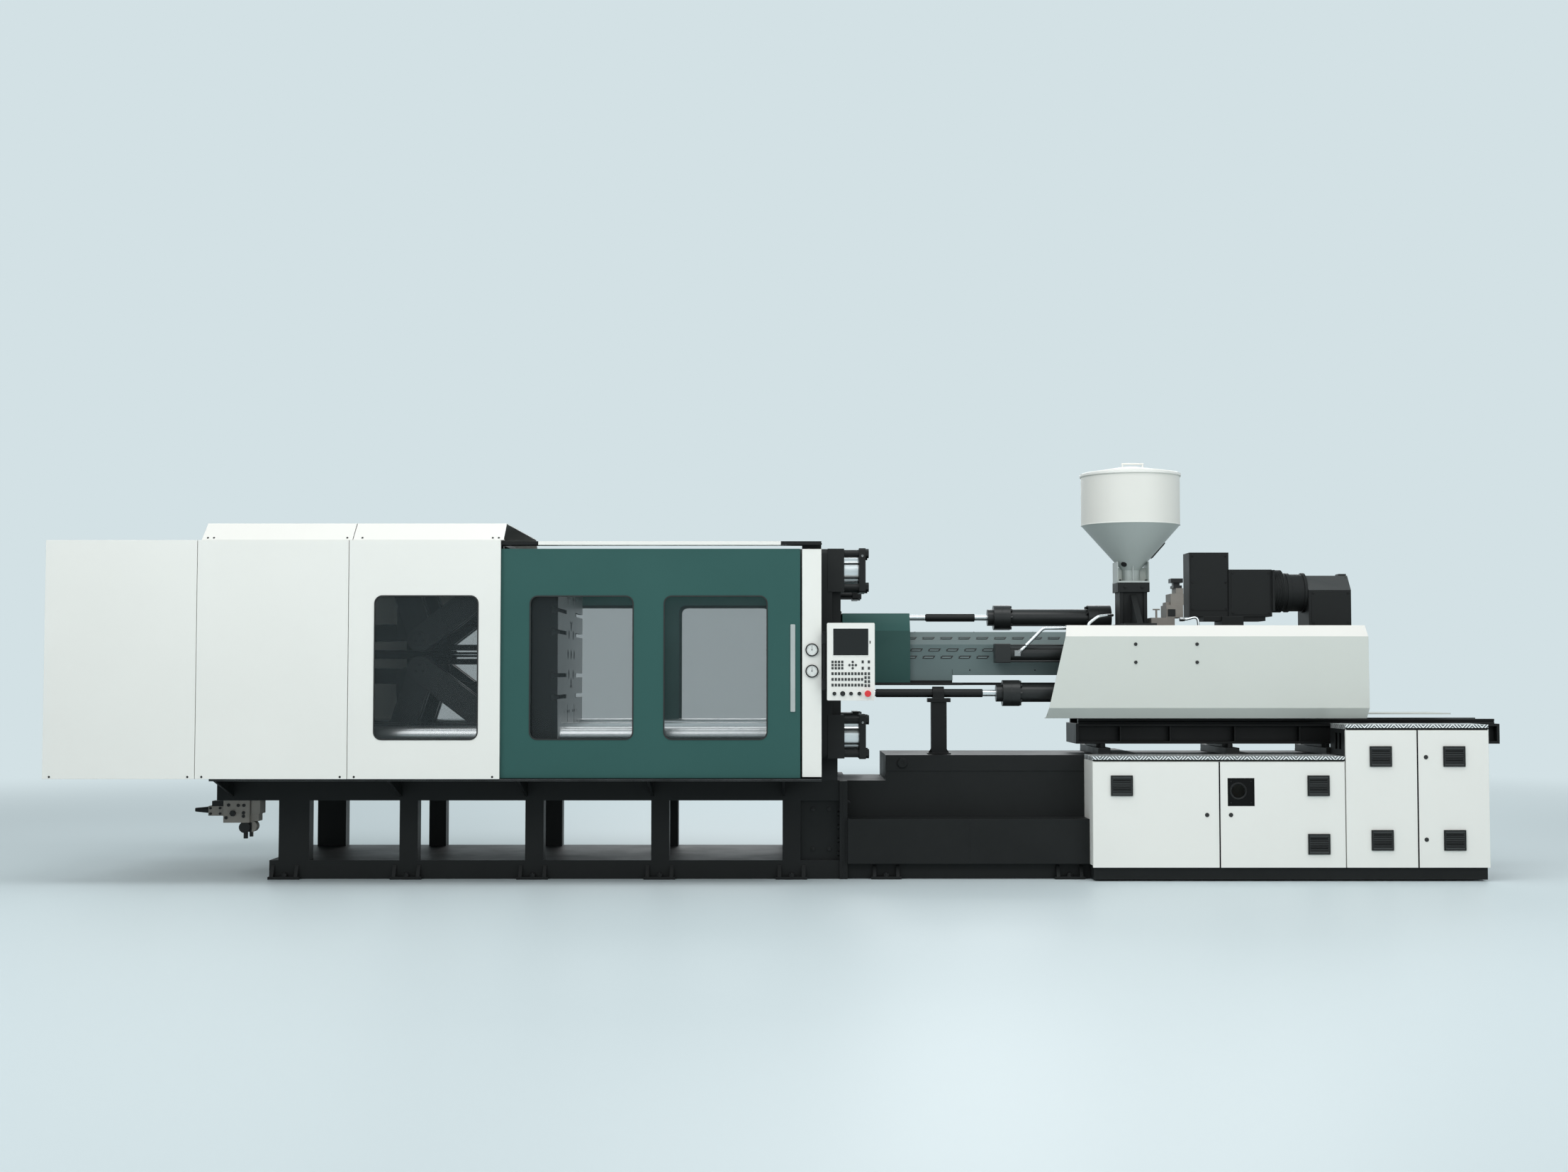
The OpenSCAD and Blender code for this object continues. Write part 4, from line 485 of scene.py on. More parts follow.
# Platens, milled where the mould is bolted on
PLATEN = Coat(
    CAST_CHARCOAL, "platen_with_milled_faces", {MILLED_STEEL: (zone((-1606, -1599.5)), zone((-46, -40)))}
)
# Guard frame, with white rails above the doors
GUARD_FRAME = Coat(
    ENAMEL_CHARCOAL, "guard_frame_with_white_rail", {POWDER_WHITE: (zone((-1700, -99), z=(2241, 2267)),)}
)
# Cabinet tops, with the shadow joint above the doors
CABINET_TOPS = Coat(
    TREAD_PLATE,
    "tread_plate_over_dark_joint",
    {MATT_BLACK_AND_PAINTED_SHADE: (zone(y=(-900, -799), z=(805, 815)), zone(y=(-900, -799), z=(1018, 1028)))},
)
# Purge guard: painted shade on its sides, and the plain green on its roof, which faces the lamps
PURGE_GUARD = Coat(ENAMEL_GREEN_PAINTED_SHADE, "purge_guard_with_lit_top", {ENAMEL_GREEN: (zone(z=(1696.2, 1900)),)})
# Screw drive, with its pull rods, and a painted sheen on the motor's sloping lid
SCREW_DRIVE = Coat(
    ENAMEL_CHARCOAL,
    "drive_with_chromed_rods",
    {
        HARD_CHROME: (zone((2000, 2699.5), z=(1500, 1570)),),
        ENAMEL_SLATE_AND_PAINTED_SHEEN: (zone((3630, 3945), (-149.5, -60.5), (1986, 2091)),),
    },
)
# Crosshead and the clamp's piston rod
CROSSHEAD = Coat(LINK_STEEL, "crosshead_on_chromed_rod", {HARD_CHROME: (zone((-4700, -3283)),)})
# Ejector and its rods
EJECTOR = Coat(
    MILLED_STEEL, "ejector_with_chromed_rods", {HARD_CHROME: (zone((-2600, -2087)), zone((-2055, -1600)))}
)
# Valve block under the clamp bed, with its solenoid, plugs and hose ends
VALVE_BLOCK = Coat(
    BLASTED_GREY,
    "valve_block_with_black_valves",
    {
        BLACK_OXIDE: (
            zone((-4110, -4006.5)),
            zone((-3990, -3898.5), z=(490.5, 526)),
            zone((-4006, -3898), (-599, -590.2)),
            zone(y=(-640, -610.2)),
            zone((-3800, -3710), z=(200, 378.5)),
        )
    },
)
# Each coat, the width of the softened edges under it, and the nodes that wear it
SKINS: tuple[tuple[Coat | Finish, float, str], ...] = (
    (ENAMEL_CHARCOAL, 3, "clamp_bed injection_bed"),
    (HARD_CHROME, 0, "tie_bars screw"),
    (PLATEN, 3, "fixed_platen"),
    (PLATEN, 2, "moving_platen"),
    (BLACK_OXIDE, 1.5, "tie_bar_retainers"),
    (GUARD_FRAME, 1.5, "guard_frame"),
    (POWDER_WHITE, 1.2, "front_cover rear_cover roof_cover post_covers"),
    (CLEAR_PANE, 0, "cover_panes front_door_panes rear_door_panes"),
    (BLACK_OXIDE, 0, "pressure_gauges"),
    (VALVE_BLOCK, 2, "clamp_manifold"),
    (ENAMEL_CHARCOAL, 2, "front_tray"),
    (POWDER_WHITE, 0, "low_cabinet"),
    (ENAMEL_CHARCOAL, 0, "tall_cabinet"),
    (CABINET_TOPS, 1, "cabinet_tops"),
    (ENAMEL_BLACK_PAINTED_SHADE, 2, "sled_base"),
    (BLACK_OXIDE, 0.5, "sled_rails"),
    (ENAMEL_BLACK_PAINTED_SHADE, 1.5, "rod_stand"),
    (CARRIAGE_RODS, 0, "carriage_rods"),
    (ENAMEL_GREEN, 1.5, "front_door rear_door"),
    (ANODISED, 1.5, "front_door_handle"),
    (CABINET_DOORS, 0.6, "low_door_left low_door_right tall_door_left tall_door_right"),
    (PANEL, 2, "panel_housing"),
    (SCREEN_GLASS, 0, "panel_screen"),
    (CAP_RED, 1.5, "emergency_stop"),
    (ABS_BLACK, 0.8, "selector_switch"),
    (ABS_BLACK, 0.6, "start_button stop_button reset_button"),
    (EJECTOR, 0.5, "ejector"),
    (CAST_CHARCOAL, 2, "tail_stock injection_housing"),
    (BLACK_OXIDE, 2, "clamp_cylinder"),
    (MILLED_STEEL, 0, "adjusting_nuts barrel"),
    (CROSSHEAD, 1.5, "crosshead"),
    (ENAMEL_GREY, 0.5, "barrel_cover"),
    (CYLINDER_PAINT, 0.8, "cylinders"),
    (INJECTION_COVERS, 1.0, "injection_covers"),
    (HOPPER, 0, "hopper"),
    (POWDER_WHITE, 0.5, "hopper_lid"),
    (PURGE_GUARD, 0.8, "purge_guard"),
    (SCREW_DRIVE, 2.5, "screw_drive"),
    (VALVE_STACK, 2, "injection_manifold"),
    (LINK_STEEL, 1.5, "rear_link_upper rear_link_lower front_link_upper front_link_lower"),
    (LINK_STEEL, 1.5, "crosshead_link_upper crosshead_link_lower"),
)


def in_metres(point: Sequence[float]) -> Vector:
    """Turns millimetres into a vector in metres."""
    return Vector([c * MM for c in point])


def sided(side: int, near: float, far: float) -> Span:
    """Gives the span between two distances from the centre line, on one side of the machine."""
    return (min(side * near, side * far), max(side * near, side * far))


def grid(aim: Point, xs: Iterable[float], ys: Iterable[float], zs: Iterable[float]) -> list[Spot]:
    """Lists a spot with the same aim wherever the given places cross."""
    return [(place, aim) for place in product(xs, ys, zs)]


def circle(count: int, radius: float, first: float = 0.0) -> list[tuple[float, float]]:
    """Spreads points round a circle at the origin, from a first angle in degrees."""
    turns = [math.radians(first + 360 * k / count) for k in range(count)]
    return [(radius * math.cos(t), radius * math.sin(t)) for t in turns]


def bent(points: Sequence[Point], radius: float, steps: int = 6) -> list[Vector]:
    """Rounds the corners of a path.

    Args:
        points: the corners of the path in millimetres.
        radius: the radius of each bend in millimetres.
        steps: how many pieces each bend has.

    Returns:
        The points of the rounded path in millimetres.
    """
    path = [Vector(p) for p in points]
    rounded = [path[0]]
    for before, corner, after in zip(path, path[1:], path[2:]):
        back, ahead = (before - corner).normalized(), (after - corner).normalized()
        half = back.angle(ahead) / 2
        reach = min(radius / math.tan(half), (before - corner).length * 0.48, (after - corner).length * 0.48)
        start, end = corner + back * reach, corner + ahead * reach
        for step in range(steps + 1):
            share = step / steps
            first, second = start.lerp(corner, share), corner.lerp(end, share)
            rounded.append(first.lerp(second, share))
    rounded.append(path[-1])
    return rounded


def linked(name: str, data: ID) -> Object:
    """Makes an object and puts it in the scene.

    Args:
        name: the object's name.
        data: its mesh, lamp or camera.

    Returns:
        The new object.
    """
    made = bpy.data.objects.new(name, data)
    bpy.context.scene.collection.objects.link(made)
    return made


def evaluated(piece: Object) -> Mesh:
    """Makes a plain mesh of a piece as its modifiers leave it."""
    bpy.context.view_layer.update()
    return bpy.data.meshes.new_from_object(piece.evaluated_get(bpy.context.evaluated_depsgraph_get()))


def report(piece: Object, body: str, slot: str) -> None:
    """Rides a piece on its body and logs it.

    Args:
        piece: the finished piece.
        body: the body that carries it.
        slot: the record's material slot; not used.
    """
    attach(piece, body)
    LOG.info("piece %s on %s, %d faces", piece.name, body, len(piece.data.polygons))


def soften(piece: Object, width: float) -> Object:
    """Gives a piece narrow rounded edges and keeps the result as its mesh.

    A bevel that moves the piece's box is left off.

    Args:
        piece: the object to change.
        width: the width of the rounding in millimetres; nothing happens at zero.

    Returns:
        The same object.
    """
    if width <= 0:
        return piece
    bevel = piece.modifiers.new("edges", "BEVEL")
    bevel.width = width * MM
    bevel.segments = 2
    bevel.limit_method = "ANGLE"
    bevel.angle_limit = math.radians(SHARP)
    bevel.harden_normals = True
    rounded = evaluated(piece)
    piece.modifiers.remove(bevel)
    before = [Vector(c) for c in piece.bound_box]
    old, name = piece.data, piece.data.name
    piece.data = rounded
    bpy.context.view_layer.update()
    after = [Vector(c) for c in piece.bound_box]
    drift = max((a - b).length for a, b in zip(before, after))
    if drift > DRIFT * MM:
        LOG.warning("bevel of %s drifted %.1f mm and was left off", piece.name, drift / MM)
        piece.data = old
        return piece
    bpy.data.meshes.remove(old)
    rounded.name = name
    return piece


def finished(work: BMesh, name: str, coat: Coat | Finish, bevel: float, smooth: float) -> Object:
    """Makes an object of a mesh, with its material, smooth round faces and softened edges.

    Args:
        work: the mesh; it is freed.
        name: the piece's name.
        coat: what it is finished in.
        bevel: the width of its softened edges in millimetres.
        smooth: the angle in degrees below which two faces shade as one.

    Returns:
        The new object.
    """
    limit = math.radians(smooth)
    for edge in work.edges:
        edge.smooth = len(edge.link_faces) == 2 and edge.calc_face_angle(0) < limit
    for face in work.faces:
        face.smooth = True
    data = bpy.data.meshes.new(name)
    work.to_mesh(data)
    work.free()
    data.materials.append(coat.material())
    return soften(linked(name, data), bevel)


class Solid:
    """Collects closed shapes in millimetres and makes one piece of them."""

    # The angle in degrees below which two faces shade as one
    smooth: float = 32.0

    def __init__(self) -> None:
        """Starts with no shape."""
        self.mesh = bmesh.new()

    @staticmethod
    def turned(axis: Axis, u: float, v: float, w: float) -> Vector:
        """Puts two flat coordinates and a height along an axis in the order of the frame."""
        return Vector({Axis.X: (w, u, v), Axis.Y: (u, w, v), Axis.Z: (u, v, w)}[axis])

    def loft(self, rings: Sequence[Sequence[Vector]], closed: bool = False) -> Solid:
        """Joins rings of points into a skin with closed ends.

        Args:
            rings: rings of the same number of points, in millimetres.
            closed: whether the last ring joins the first, as in a ring.

        Returns:
            This solid.
        """
        made = [[self.mesh.verts.new(in_metres(p)) for p in ring] for ring in rings]
        count = len(made[0])
        pairs = list(zip(made, made[1:])) + ([(made[-1], made[0])] if closed else [])
        faces = [
            self.mesh.faces.new((low[i], low[(i + 1) % count], high[(i + 1) % count], high[i]))
            for low, high in pairs
            for i in range(count)
        ]
        if not closed:
            faces += [self.mesh.faces.new(list(reversed(made[0]))), self.mesh.faces.new(made[-1])]
        bmesh.ops.recalc_face_normals(self.mesh, faces=faces)
        return self

    def prism(self, axis: Axis, outline: Sequence[tuple[float, float]], span: Span) -> Solid:
        """Extrudes a flat outline along an axis; the outline uses the other two axes in X, Y, Z order."""
        return self.loft([[self.turned(axis, u, v, w) for u, v in outline] for w in span])

    def box(self, x: Span, y: Span, z: Span) -> Solid:
        """Adds a box between the given spans."""
        return self.prism(Axis.Z, [(x[0], y[0]), (x[1], y[0]), (x[1], y[1]), (x[0], y[1])], z)

    def disc(
        self, axis: Axis, centre: Point, radius: float, span: Span, sides: int = 32, tip: float | None = None
    ) -> Solid:
        """Adds a round bar, or a taper.

        Args:
            axis: the way that the bar runs.
            centre: a point on its centre line.
            radius: its radius.
            span: where it starts and ends along the axis.
            sides: how many sides it has.
            tip: the radius of its far end, where that differs.

        Returns:
            This solid.
        """
        a, b = [c for i, c in enumerate(centre) if i != axis.value]
        rings = []
        for reach, level in ((radius, span[0]), (radius if tip is None else tip, span[1])):
            ring = circle(sides, reach, 180 / sides)
            rings.append([self.turned(axis, a + u, b + v, level) for u, v in ring])
        return self.loft(rings)

    def lathe(self, axis: Axis, centre: Point, profile: Sequence[Span], sides: int = 48) -> Solid:
        """Turns a closed profile round an axis, at a distance from it.

        Args:
            axis: the axis to turn round.
            centre: the point that the profile's heights start from.
            profile: its corners, as radius and height.
            sides: how many steps the turn has.

        Returns:
            This solid.
        """
        a, b = [c for i, c in enumerate(centre) if i != axis.value]
        foot = centre[axis.value]
        rings = []
        for u, v in circle(sides, 1.0):
            rings.append([self.turned(axis, a + r * u, b + r * v, foot + h) for r, h in profile])
        return self.loft(rings, closed=True)

    def rim(self, x: Span, z: Span, radius: float, width: float, y: Span, steps: int = 8) -> Solid:
        """Adds a flat frame with round corners in X and Z, as round a window.

        Args:
            x: the span of the opening along X.
            z: the span of the opening along Z.
            radius: the corner radius of the opening.
            width: how far the frame stands out from the opening.
            y: the span of the frame's thickness.
            steps: how many pieces each corner has.

        Returns:
            This solid.
        """
        left, right, low, high = x[0] + radius, x[1] - radius, z[0] + radius, z[1] - radius
        rings = []
        for cx, cz, start in ((right, high, 0), (left, high, 90), (left, low, 180), (right, low, 270)):
            for step in range(steps + 1):
                turn = math.radians(start + 90 * step / steps)
                u, v = math.cos(turn), math.sin(turn)
                section = ((radius, y[0]), (radius + width, y[0]), (radius + width, y[1]), (radius, y[1]))
                rings.append([Vector((cx + r * u, w, cz + r * v)) for r, w in section])
        return self.loft(rings, closed=True)

    def tube(self, path: Sequence[Vector], radius: float, sides: int = 12) -> Solid:
        """Sweeps a round section along a path, as a pipe or hose.

        Args:
            path: the points of its centre line, in millimetres.
            radius: its radius.
            sides: how many sides it has.

        Returns:
            This solid.
        """
        rings = []
        side = Vector(REAR)
        for i, here in enumerate(path):
            ahead = (path[min(i + 1, len(path) - 1)] - path[max(i - 1, 0)]).normalized()
            side = (side - ahead * side.dot(ahead)).normalized()
            up = ahead.cross(side)
            rings.append([here + side * u + up * v for u, v in circle(sides, radius)])
        return self.loft(rings)

    def template(self, name: str, coat: Finish, bevel: float = 0.0) -> Object:
        """Makes an object to repeat in a pattern, with softened edges of a width in millimetres."""
        return finished(self.mesh, name, coat, bevel, self.smooth)

    def piece(self, name: str, coat: Finish, body: str, slot: str, bevel: float = 0.0) -> None:
        """Makes the piece and reports it.

        Args:
            name: the piece's name.
            coat: what it is finished in.
            body: the body that carries it.
            slot: the record's material slot.
            bevel: the width of its softened edges in millimetres.
        """
        report(self.template(name, coat, bevel), body, slot)


@dataclass(frozen=True)
class Pattern:
    """Geometry Nodes that set copies of one template along a row, or on spots with an aim."""

    name: str
    coat: Finish
    body: str
    slot: str

    def tree(self, row: bool) -> NodeTree:
        """Builds the node tree.

        Args:
            row: whether the copies follow a row, and not spots with an aim.

        Returns:
            The tree, with its named inputs.
        """
        made = bpy.data.node_groups.new("pattern_row" if row else "pattern_spots", "GeometryNodeTree")
        kinds = ("Geometry", "Object", "Material", "Int", "Vector")
        for title, kind in zip(("Spots", "Template", "Finish", "Count", "Pitch"), kinds):
            made.interface.new_socket(title, in_out="INPUT", socket_type="NodeSocket" + kind)
        made.interface.new_socket("Copies", in_out="OUTPUT", socket_type="NodeSocketGeometry")
        inputs = add_node(made, "NodeGroupInput")
        shape = {"transform_space": "ORIGINAL"}
        template = add_node(made, "GeometryNodeObjectInfo", shape, {"Object": inputs["Template"]})
        links = {"Points": inputs["Spots"], "Instance": template["Geometry"]}
        if row:
            steps = {"Count": inputs["Count"], "Offset": inputs["Pitch"]}
            links["Points"] = add_node(made, "GeometryNodeMeshLine", {"mode": "OFFSET"}, steps)[0]
        else:
            named = {"data_type": "FLOAT_VECTOR", "Name": "aim"}
            aim = add_node(made, "GeometryNodeInputNamedAttribute", named)[0]
            turned = add_node(made, "FunctionNodeAlignRotationToVector", {"axis": "Z"}, {"Vector": aim})
            links["Rotation"] = turned[0]
        copies = add_node(made, "GeometryNodeInstanceOnPoints", {}, links)
        real = add_node(made, "GeometryNodeRealizeInstances", {}, {0: copies[0]})
        coated = {"Geometry": real[0], "Material": inputs["Finish"]}
        dressed = add_node(made, "GeometryNodeSetMaterial", {}, coated)
        add_node(made, "NodeGroupOutput", {}, {0: dressed[0]})
        return made

    def grow(self, carrier: Mesh, template: Object, count: int, pitch: Point) -> None:
        """Runs the tree on a carrier, keeps its result as a plain mesh and reports the piece.

        Args:
            carrier: the mesh whose points carry the copies.
            template: the shape to repeat; it is removed afterwards.
            count: how many copies a row has, or zero for spots.
            pitch: the step of a row in millimetres.
        """
        holder = linked(self.name, carrier)
        tree = self.tree(count > 0)
        modifier = holder.modifiers.new("pattern", "NODES")
        modifier.node_group = tree
        keys = {item.name: item.identifier for item in tree.interface.items_tree if item.in_out == "INPUT"}
        modifier[keys["Template"]] = template
        modifier[keys["Finish"]] = self.coat.material()
        modifier[keys["Count"]] = count
        modifier[keys["Pitch"]] = [c * MM for c in pitch]
        data = evaluated(holder)
        holder.modifiers.clear()
        holder.data = data
        data.name = self.name
        bpy.data.objects.remove(template)
        report(holder, self.body, self.slot)

    def along(self, template: Object, count: int, pitch: Point) -> None:
        """Repeats a template in a row from where it stands."""
        self.grow(bpy.data.meshes.new(self.name), template, count, pitch)

    def at(self, template: Object, spots: Sequence[Spot]) -> None:
        """Repeats a template made at the origin, along Z, on spots.

        Args:
            template: the shape to repeat.
            spots: the place and the aim of each copy.
        """
        carrier = bpy.data.meshes.new(self.name)
        carrier.from_pydata([in_metres(p) for p, _ in spots], [], [])
        aims = carrier.attributes.new("aim", "FLOAT_VECTOR", "POINT")
        for i, (_, aim) in enumerate(spots):
            aims.data[i].vector = aim
        self.grow(carrier, template, 0, ORIGIN)


def screws(
    name: str,
    body: str,
    head: Head,
    size: float,
    spots: Sequence[Spot],
    coat: Finish = BLACK_OXIDE,
    slot: str = "black_plastic",
) -> None:
    """Sets screw heads on spots of one body.

    Args:
        name: the piece's name.
        body: the body that carries them.
        head: their shape.
        size: the width of a head in millimetres.
        spots: the place and the aim of each screw.
        coat: what they are finished in.
        slot: the record's material slot.
    """
    solid = Solid()
    for radius, tip, low, high, sides in head.value:
        solid.disc(Axis.Z, ORIGIN, size * radius, (size * low, size * high), sides, size * tip)
    if head is Head.CAP:
        wall = [(0.28, 0), (0.5, 0), (0.5, 0.5), (0.44, 0.56), (0.28, 0.56)]
        solid.lathe(Axis.Z, ORIGIN, [(size * r, size * h) for r, h in wall], 16)
    Pattern(name, coat, body, slot).at(solid.template("screw_head", coat), spots)


@dataclass
class CadSkins:
    """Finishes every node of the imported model, on a copy with softened edges where it shows."""

    frame: dict
    weld: float = 0.02
    flat: float = 0.4
    smooth: float = 30.0

    def skin(self, node: str, coat: Coat | Finish, bevel: float, body: str, slot: str) -> None:
        """Puts a smooth copy with softened edges in place of a node.

        Args:
            node: the node's name.
            coat: what it is finished in.
            bevel: the width of its softened edges in millimetres.
            body: the body that carries it.
            slot: the record's material slot.
        """
        work = bmesh.new()
        work.from_mesh(self.frame["nodes"][node].data)
        bmesh.ops.remove_doubles(work, verts=work.verts, dist=self.weld * MM)
        level = math.radians(self.flat)
        bmesh.ops.dissolve_limit(work, angle_limit=level, verts=work.verts, edges=work.edges)
        piece = finished(work, node + "_skin", coat, bevel, self.smooth)
        report(piece, body, slot)
        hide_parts(node)

    def build(self) -> None:
        """Finishes every node."""
        record = self.frame["record"]
        slots = {part["node"]: part["material_slot"] for part in record["subparts"]}
        bodies = {n: body for body, names in record["behaviour"]["bodies"].items() for n in names}
        for coat, bevel, nodes in SKINS:
            for node in nodes.split():
                self.skin(node, coat, bevel, bodies[node], slots[node])


@dataclass
class CoverTrim:
    """Gaskets, screws and track strips of the white covers and the sliding doors."""

    cover_y: float = 1130.0
    door_y: float = 1096.0
    window_z: Span = (962.0, 1902.0)
    corner: float = 48.0
    lap: float = 3.0
    gasket: float = 9.0
    sunk: float = 1.0
    proud: float = 3.0
    cover_windows: tuple[Span, ...] = ((-2769.0, -2093.0),)
    door_windows: tuple[Span, ...] = ((-1751.0, -1075.0), (-867.0, -191.0))
    left: float = -4942.0
    panel: float = 999.0
    inset: float = 46.0
    screw: float = 15.0
    screw_h: float = 716.0
    roof_xs: tuple[float, ...] = (-3880.0, -3840.0, -2960.0, -2860.0, -2000.0, -1960.0)
    # Y and Z of the screws along the roof panels
    roof_edge: Span = (-1112.0, 2288.0)
    roof_aim: Point = (0.0, -0.65, 0.76)
    strip_x: Span = (-3851.0, 169.0)
    strip_y: Span = (1122.0, 1124.5)
    strip_zs: tuple[Span, ...] = ((688.5, 691.5), (697.5, 700.5))

    def gaskets(self, name: str, body: str, windows: Sequence[Span], face: float, side: int) -> None:
        """Lays a rubber gasket round each window of one panel.

        Args:
            name: the piece's name.
            body: the body that carries it.
            windows: the windows' spans along X.
            face: the panel's outer face, from the centre line.
            side: minus one in front and plus one at the rear.
        """
        solid = Solid()
        lap = self.lap
        up = (self.window_z[0] + lap, self.window_z[1] - lap)
        for left, right in windows:
            out = sided(side, face - self.sunk, face + self.proud)
            solid.rim((left + lap, right - lap), up, self.corner - lap, self.gasket, out)
        solid.piece(name, RUBBER, body, "black_plastic", 0.8)

    def build(self) -> None:
        """Builds the trim on both sides."""
        for place, side in (("front", -1), ("rear", 1)):
            self.gaskets(f"{place}_cover_gasket", "frame", self.cover_windows, self.cover_y, side)
            self.gaskets(f"{place}_door_gaskets", f"{place}_door", self.door_windows, self.door_y, side)
        lefts = [self.left + self.panel * k for k in range(3)]
        xs = [left + run for left in lefts for run in (self.inset, self.panel - self.inset)]
        edge_y, edge_z = self.roof_edge
        spots = grid(self.roof_aim, self.roof_xs, (edge_y,), (edge_z,))
        for side, aim in SIDES:
            spots += grid(aim, xs, (side * self.cover_y,), (self.screw_h,))
        screws("cover_screws", "frame", Head.BUTTON, self.screw, spots)
        strips = Solid()
        for side, _ in SIDES:
            for z in self.strip_zs:
                strips.box(self.strip_x, sided(side, *self.strip_y), z)
        strips.piece("track_strips", LINK_STEEL, "frame", "zinc", 0.4)


@dataclass(frozen=True)
class KeyBlock:
    """A block of keys: its lower left corner, its columns and rows, their steps and a key's height."""

    name: str
    left: float
    low: float
    columns: int
    rows: int
    across: float
    up: float
    tall: float


@dataclass
class OperatorPanel:
    """Keys, bezel and button collars of the control panel, on its front face."""

    face: float = -1166.0
    key: float = 14.6
    proud: float = 2.4
    sunk: float = 0.5
    blocks: tuple[KeyBlock, ...] = (
        KeyBlock("digit_keys", 232.8, 1420.0, 4, 3, 21.2, 20.9, 15.5),
        KeyBlock("corner_keys", 430.4, 1418.5, 2, 2, 40.5, 41.5, 19.0),
        KeyBlock("function_keys", 232.8, 1308.5, 10, 3, 21.5, 37.3, 18.5),
        KeyBlock("number_keys", 448.8, 1305.0, 2, 4, 22.3, 26.0, 18.5),
    )
    screen_x: Span = (244.0, 475.0)
    screen_z: Span = (1512.0, 1688.0)
    bezel: float = 5.0
    arrows: tuple[Span, ...] = ((372, 1469), (372, 1427.8), (351, 1448.4), (393, 1448.4), (372, 1448.4))
    arrow_r: float = 8.4
    side_key_x: Span = (483.0, 490.0)
    side_key_z: Span = (1589.0, 1608.0)
    button_x: float = 252.0
    button_pitch: float = 54.5
    button_h: float = 1262.0
    # Hole and outer radius round each button
    collars: tuple[Span, ...] = ((12.8, 16.0), (16.8, 20.0), (12.8, 16.0), (12.8, 16.0), (9.0, 24.0))

    def keypad(self, block: KeyBlock) -> None:
        """Sets a block of keys: one row is made and repeated upwards.

        Args:
            block: the keys' places and sizes.
        """
        row = Solid()
        depth = (self.face - self.proud, self.face + self.sunk)
        for column in range(block.columns):
            left = block.left + column * block.across
            row.box((left, left + self.key), depth, (block.low, block.low + block.tall))
        pattern = Pattern(block.name, ABS_KEY, "control_panel", "black_plastic")
        pattern.along(row.template("key_row", ABS_KEY, 0.7), block.rows, (0, 0, block.up))

    def build(self) -> None:
        """Builds the panel's face."""
        base, back = self.face, self.face + self.sunk
        bezel = Solid().rim(self.screen_x, self.screen_z, 4, self.bezel, (base - 2.5, base + 3), 4)
        bezel.piece("screen_bezel", DIAL_WHITE, "control_panel", "black_plastic", 0.8)
        for block in self.blocks:
            self.keypad(block)
        cross = Solid()
        for x, z in self.arrows:
            cross.disc(Axis.Y, (x, 0, z), self.arrow_r, (base - 2.6, back), 8)
        cross.box(self.side_key_x, (base - 2.0, back), self.side_key_z)
        cross.piece("arrow_keys", ABS_KEY, "control_panel", "black_plastic", 0.7)
        collars = Solid()
        for i, (hole, radius) in enumerate(self.collars):
            centre = (self.button_x + i * self.button_pitch, base, self.button_h)
            profile = [(hole, -2.6), (radius, -1.4), (radius, self.sunk), (hole, self.sunk)]
            collars.lathe(Axis.Y, centre, profile, 28)
        collars.piece("button_collars", DIAL_WHITE, "control_panel", "black_plastic", 0.5)


@dataclass
class Gauges:
    """Dials, hands and glasses of the two pressure gauges on the white post."""

    x: float = 106.0
    face: float = -1100.0
    heights: tuple[float, ...] = (1549.0, 1409.0)
    ticks: int = 21
    sweep: float = 270.0
    rim: float = 33.0
    dial: float = 35.2
    glass: float = 37.0
    hand: float = 26.0
    hub: float = 4.4

    def tick(self, number: int, z: float) -> list[tuple[float, float]]:
        """Draws one tick of a dial.

        Args:
            number: its place on the scale; each fifth one is longer.
            z: the height of the dial's middle.

        Returns:
            Its corners in X and Z.
        """
        turn = math.radians(90 + self.sweep * (number / (self.ticks - 1) - 0.5))
        cos, sin = math.cos(turn), math.sin(turn)
        foot = self.rim - (7.0 if number % 5 == 0 else 4.0)
        shape = ((self.rim, 0.8), (self.rim, -0.8), (foot, -0.8), (foot, 0.8))
        return [(self.x + r * cos - w * sin, z + r * sin + w * cos) for r, w in shape]

    def build(self) -> None:
        """Builds both gauges."""
        dial, marks, glass = Solid(), Solid(), Solid()
        x, face = self.x, self.face
        for z in self.heights:
            dial.disc(Axis.Y, (x, 0, z), self.dial, (face - 10.4, face - 9.0), 40)
            for number in range(self.ticks):
                marks.prism(Axis.Y, self.tick(number, z), (face - 10.9, face - 10.3))
            hand = [(x - self.hub / 2, z), (x + self.hub / 2, z), (x, z + self.hand)]
            marks.prism(Axis.Y, hand, (face - 12.4, face - 11.6))
            marks.disc(Axis.Y, (x, 0, z), self.hub, (face - 13.0, face - 10.6), 20)
            glass.disc(Axis.Y, (x, 0, z), self.glass, (face - 15.4, face - 14.2), 40)
        dial.piece("gauge_dials", DIAL_WHITE, "frame", "white_paint")
        marks.piece("gauge_marks", ABS_BLACK, "frame", "black_plastic")
        glass.piece("gauge_glasses", GAUGE_GLASS, "frame", "clear_pane")


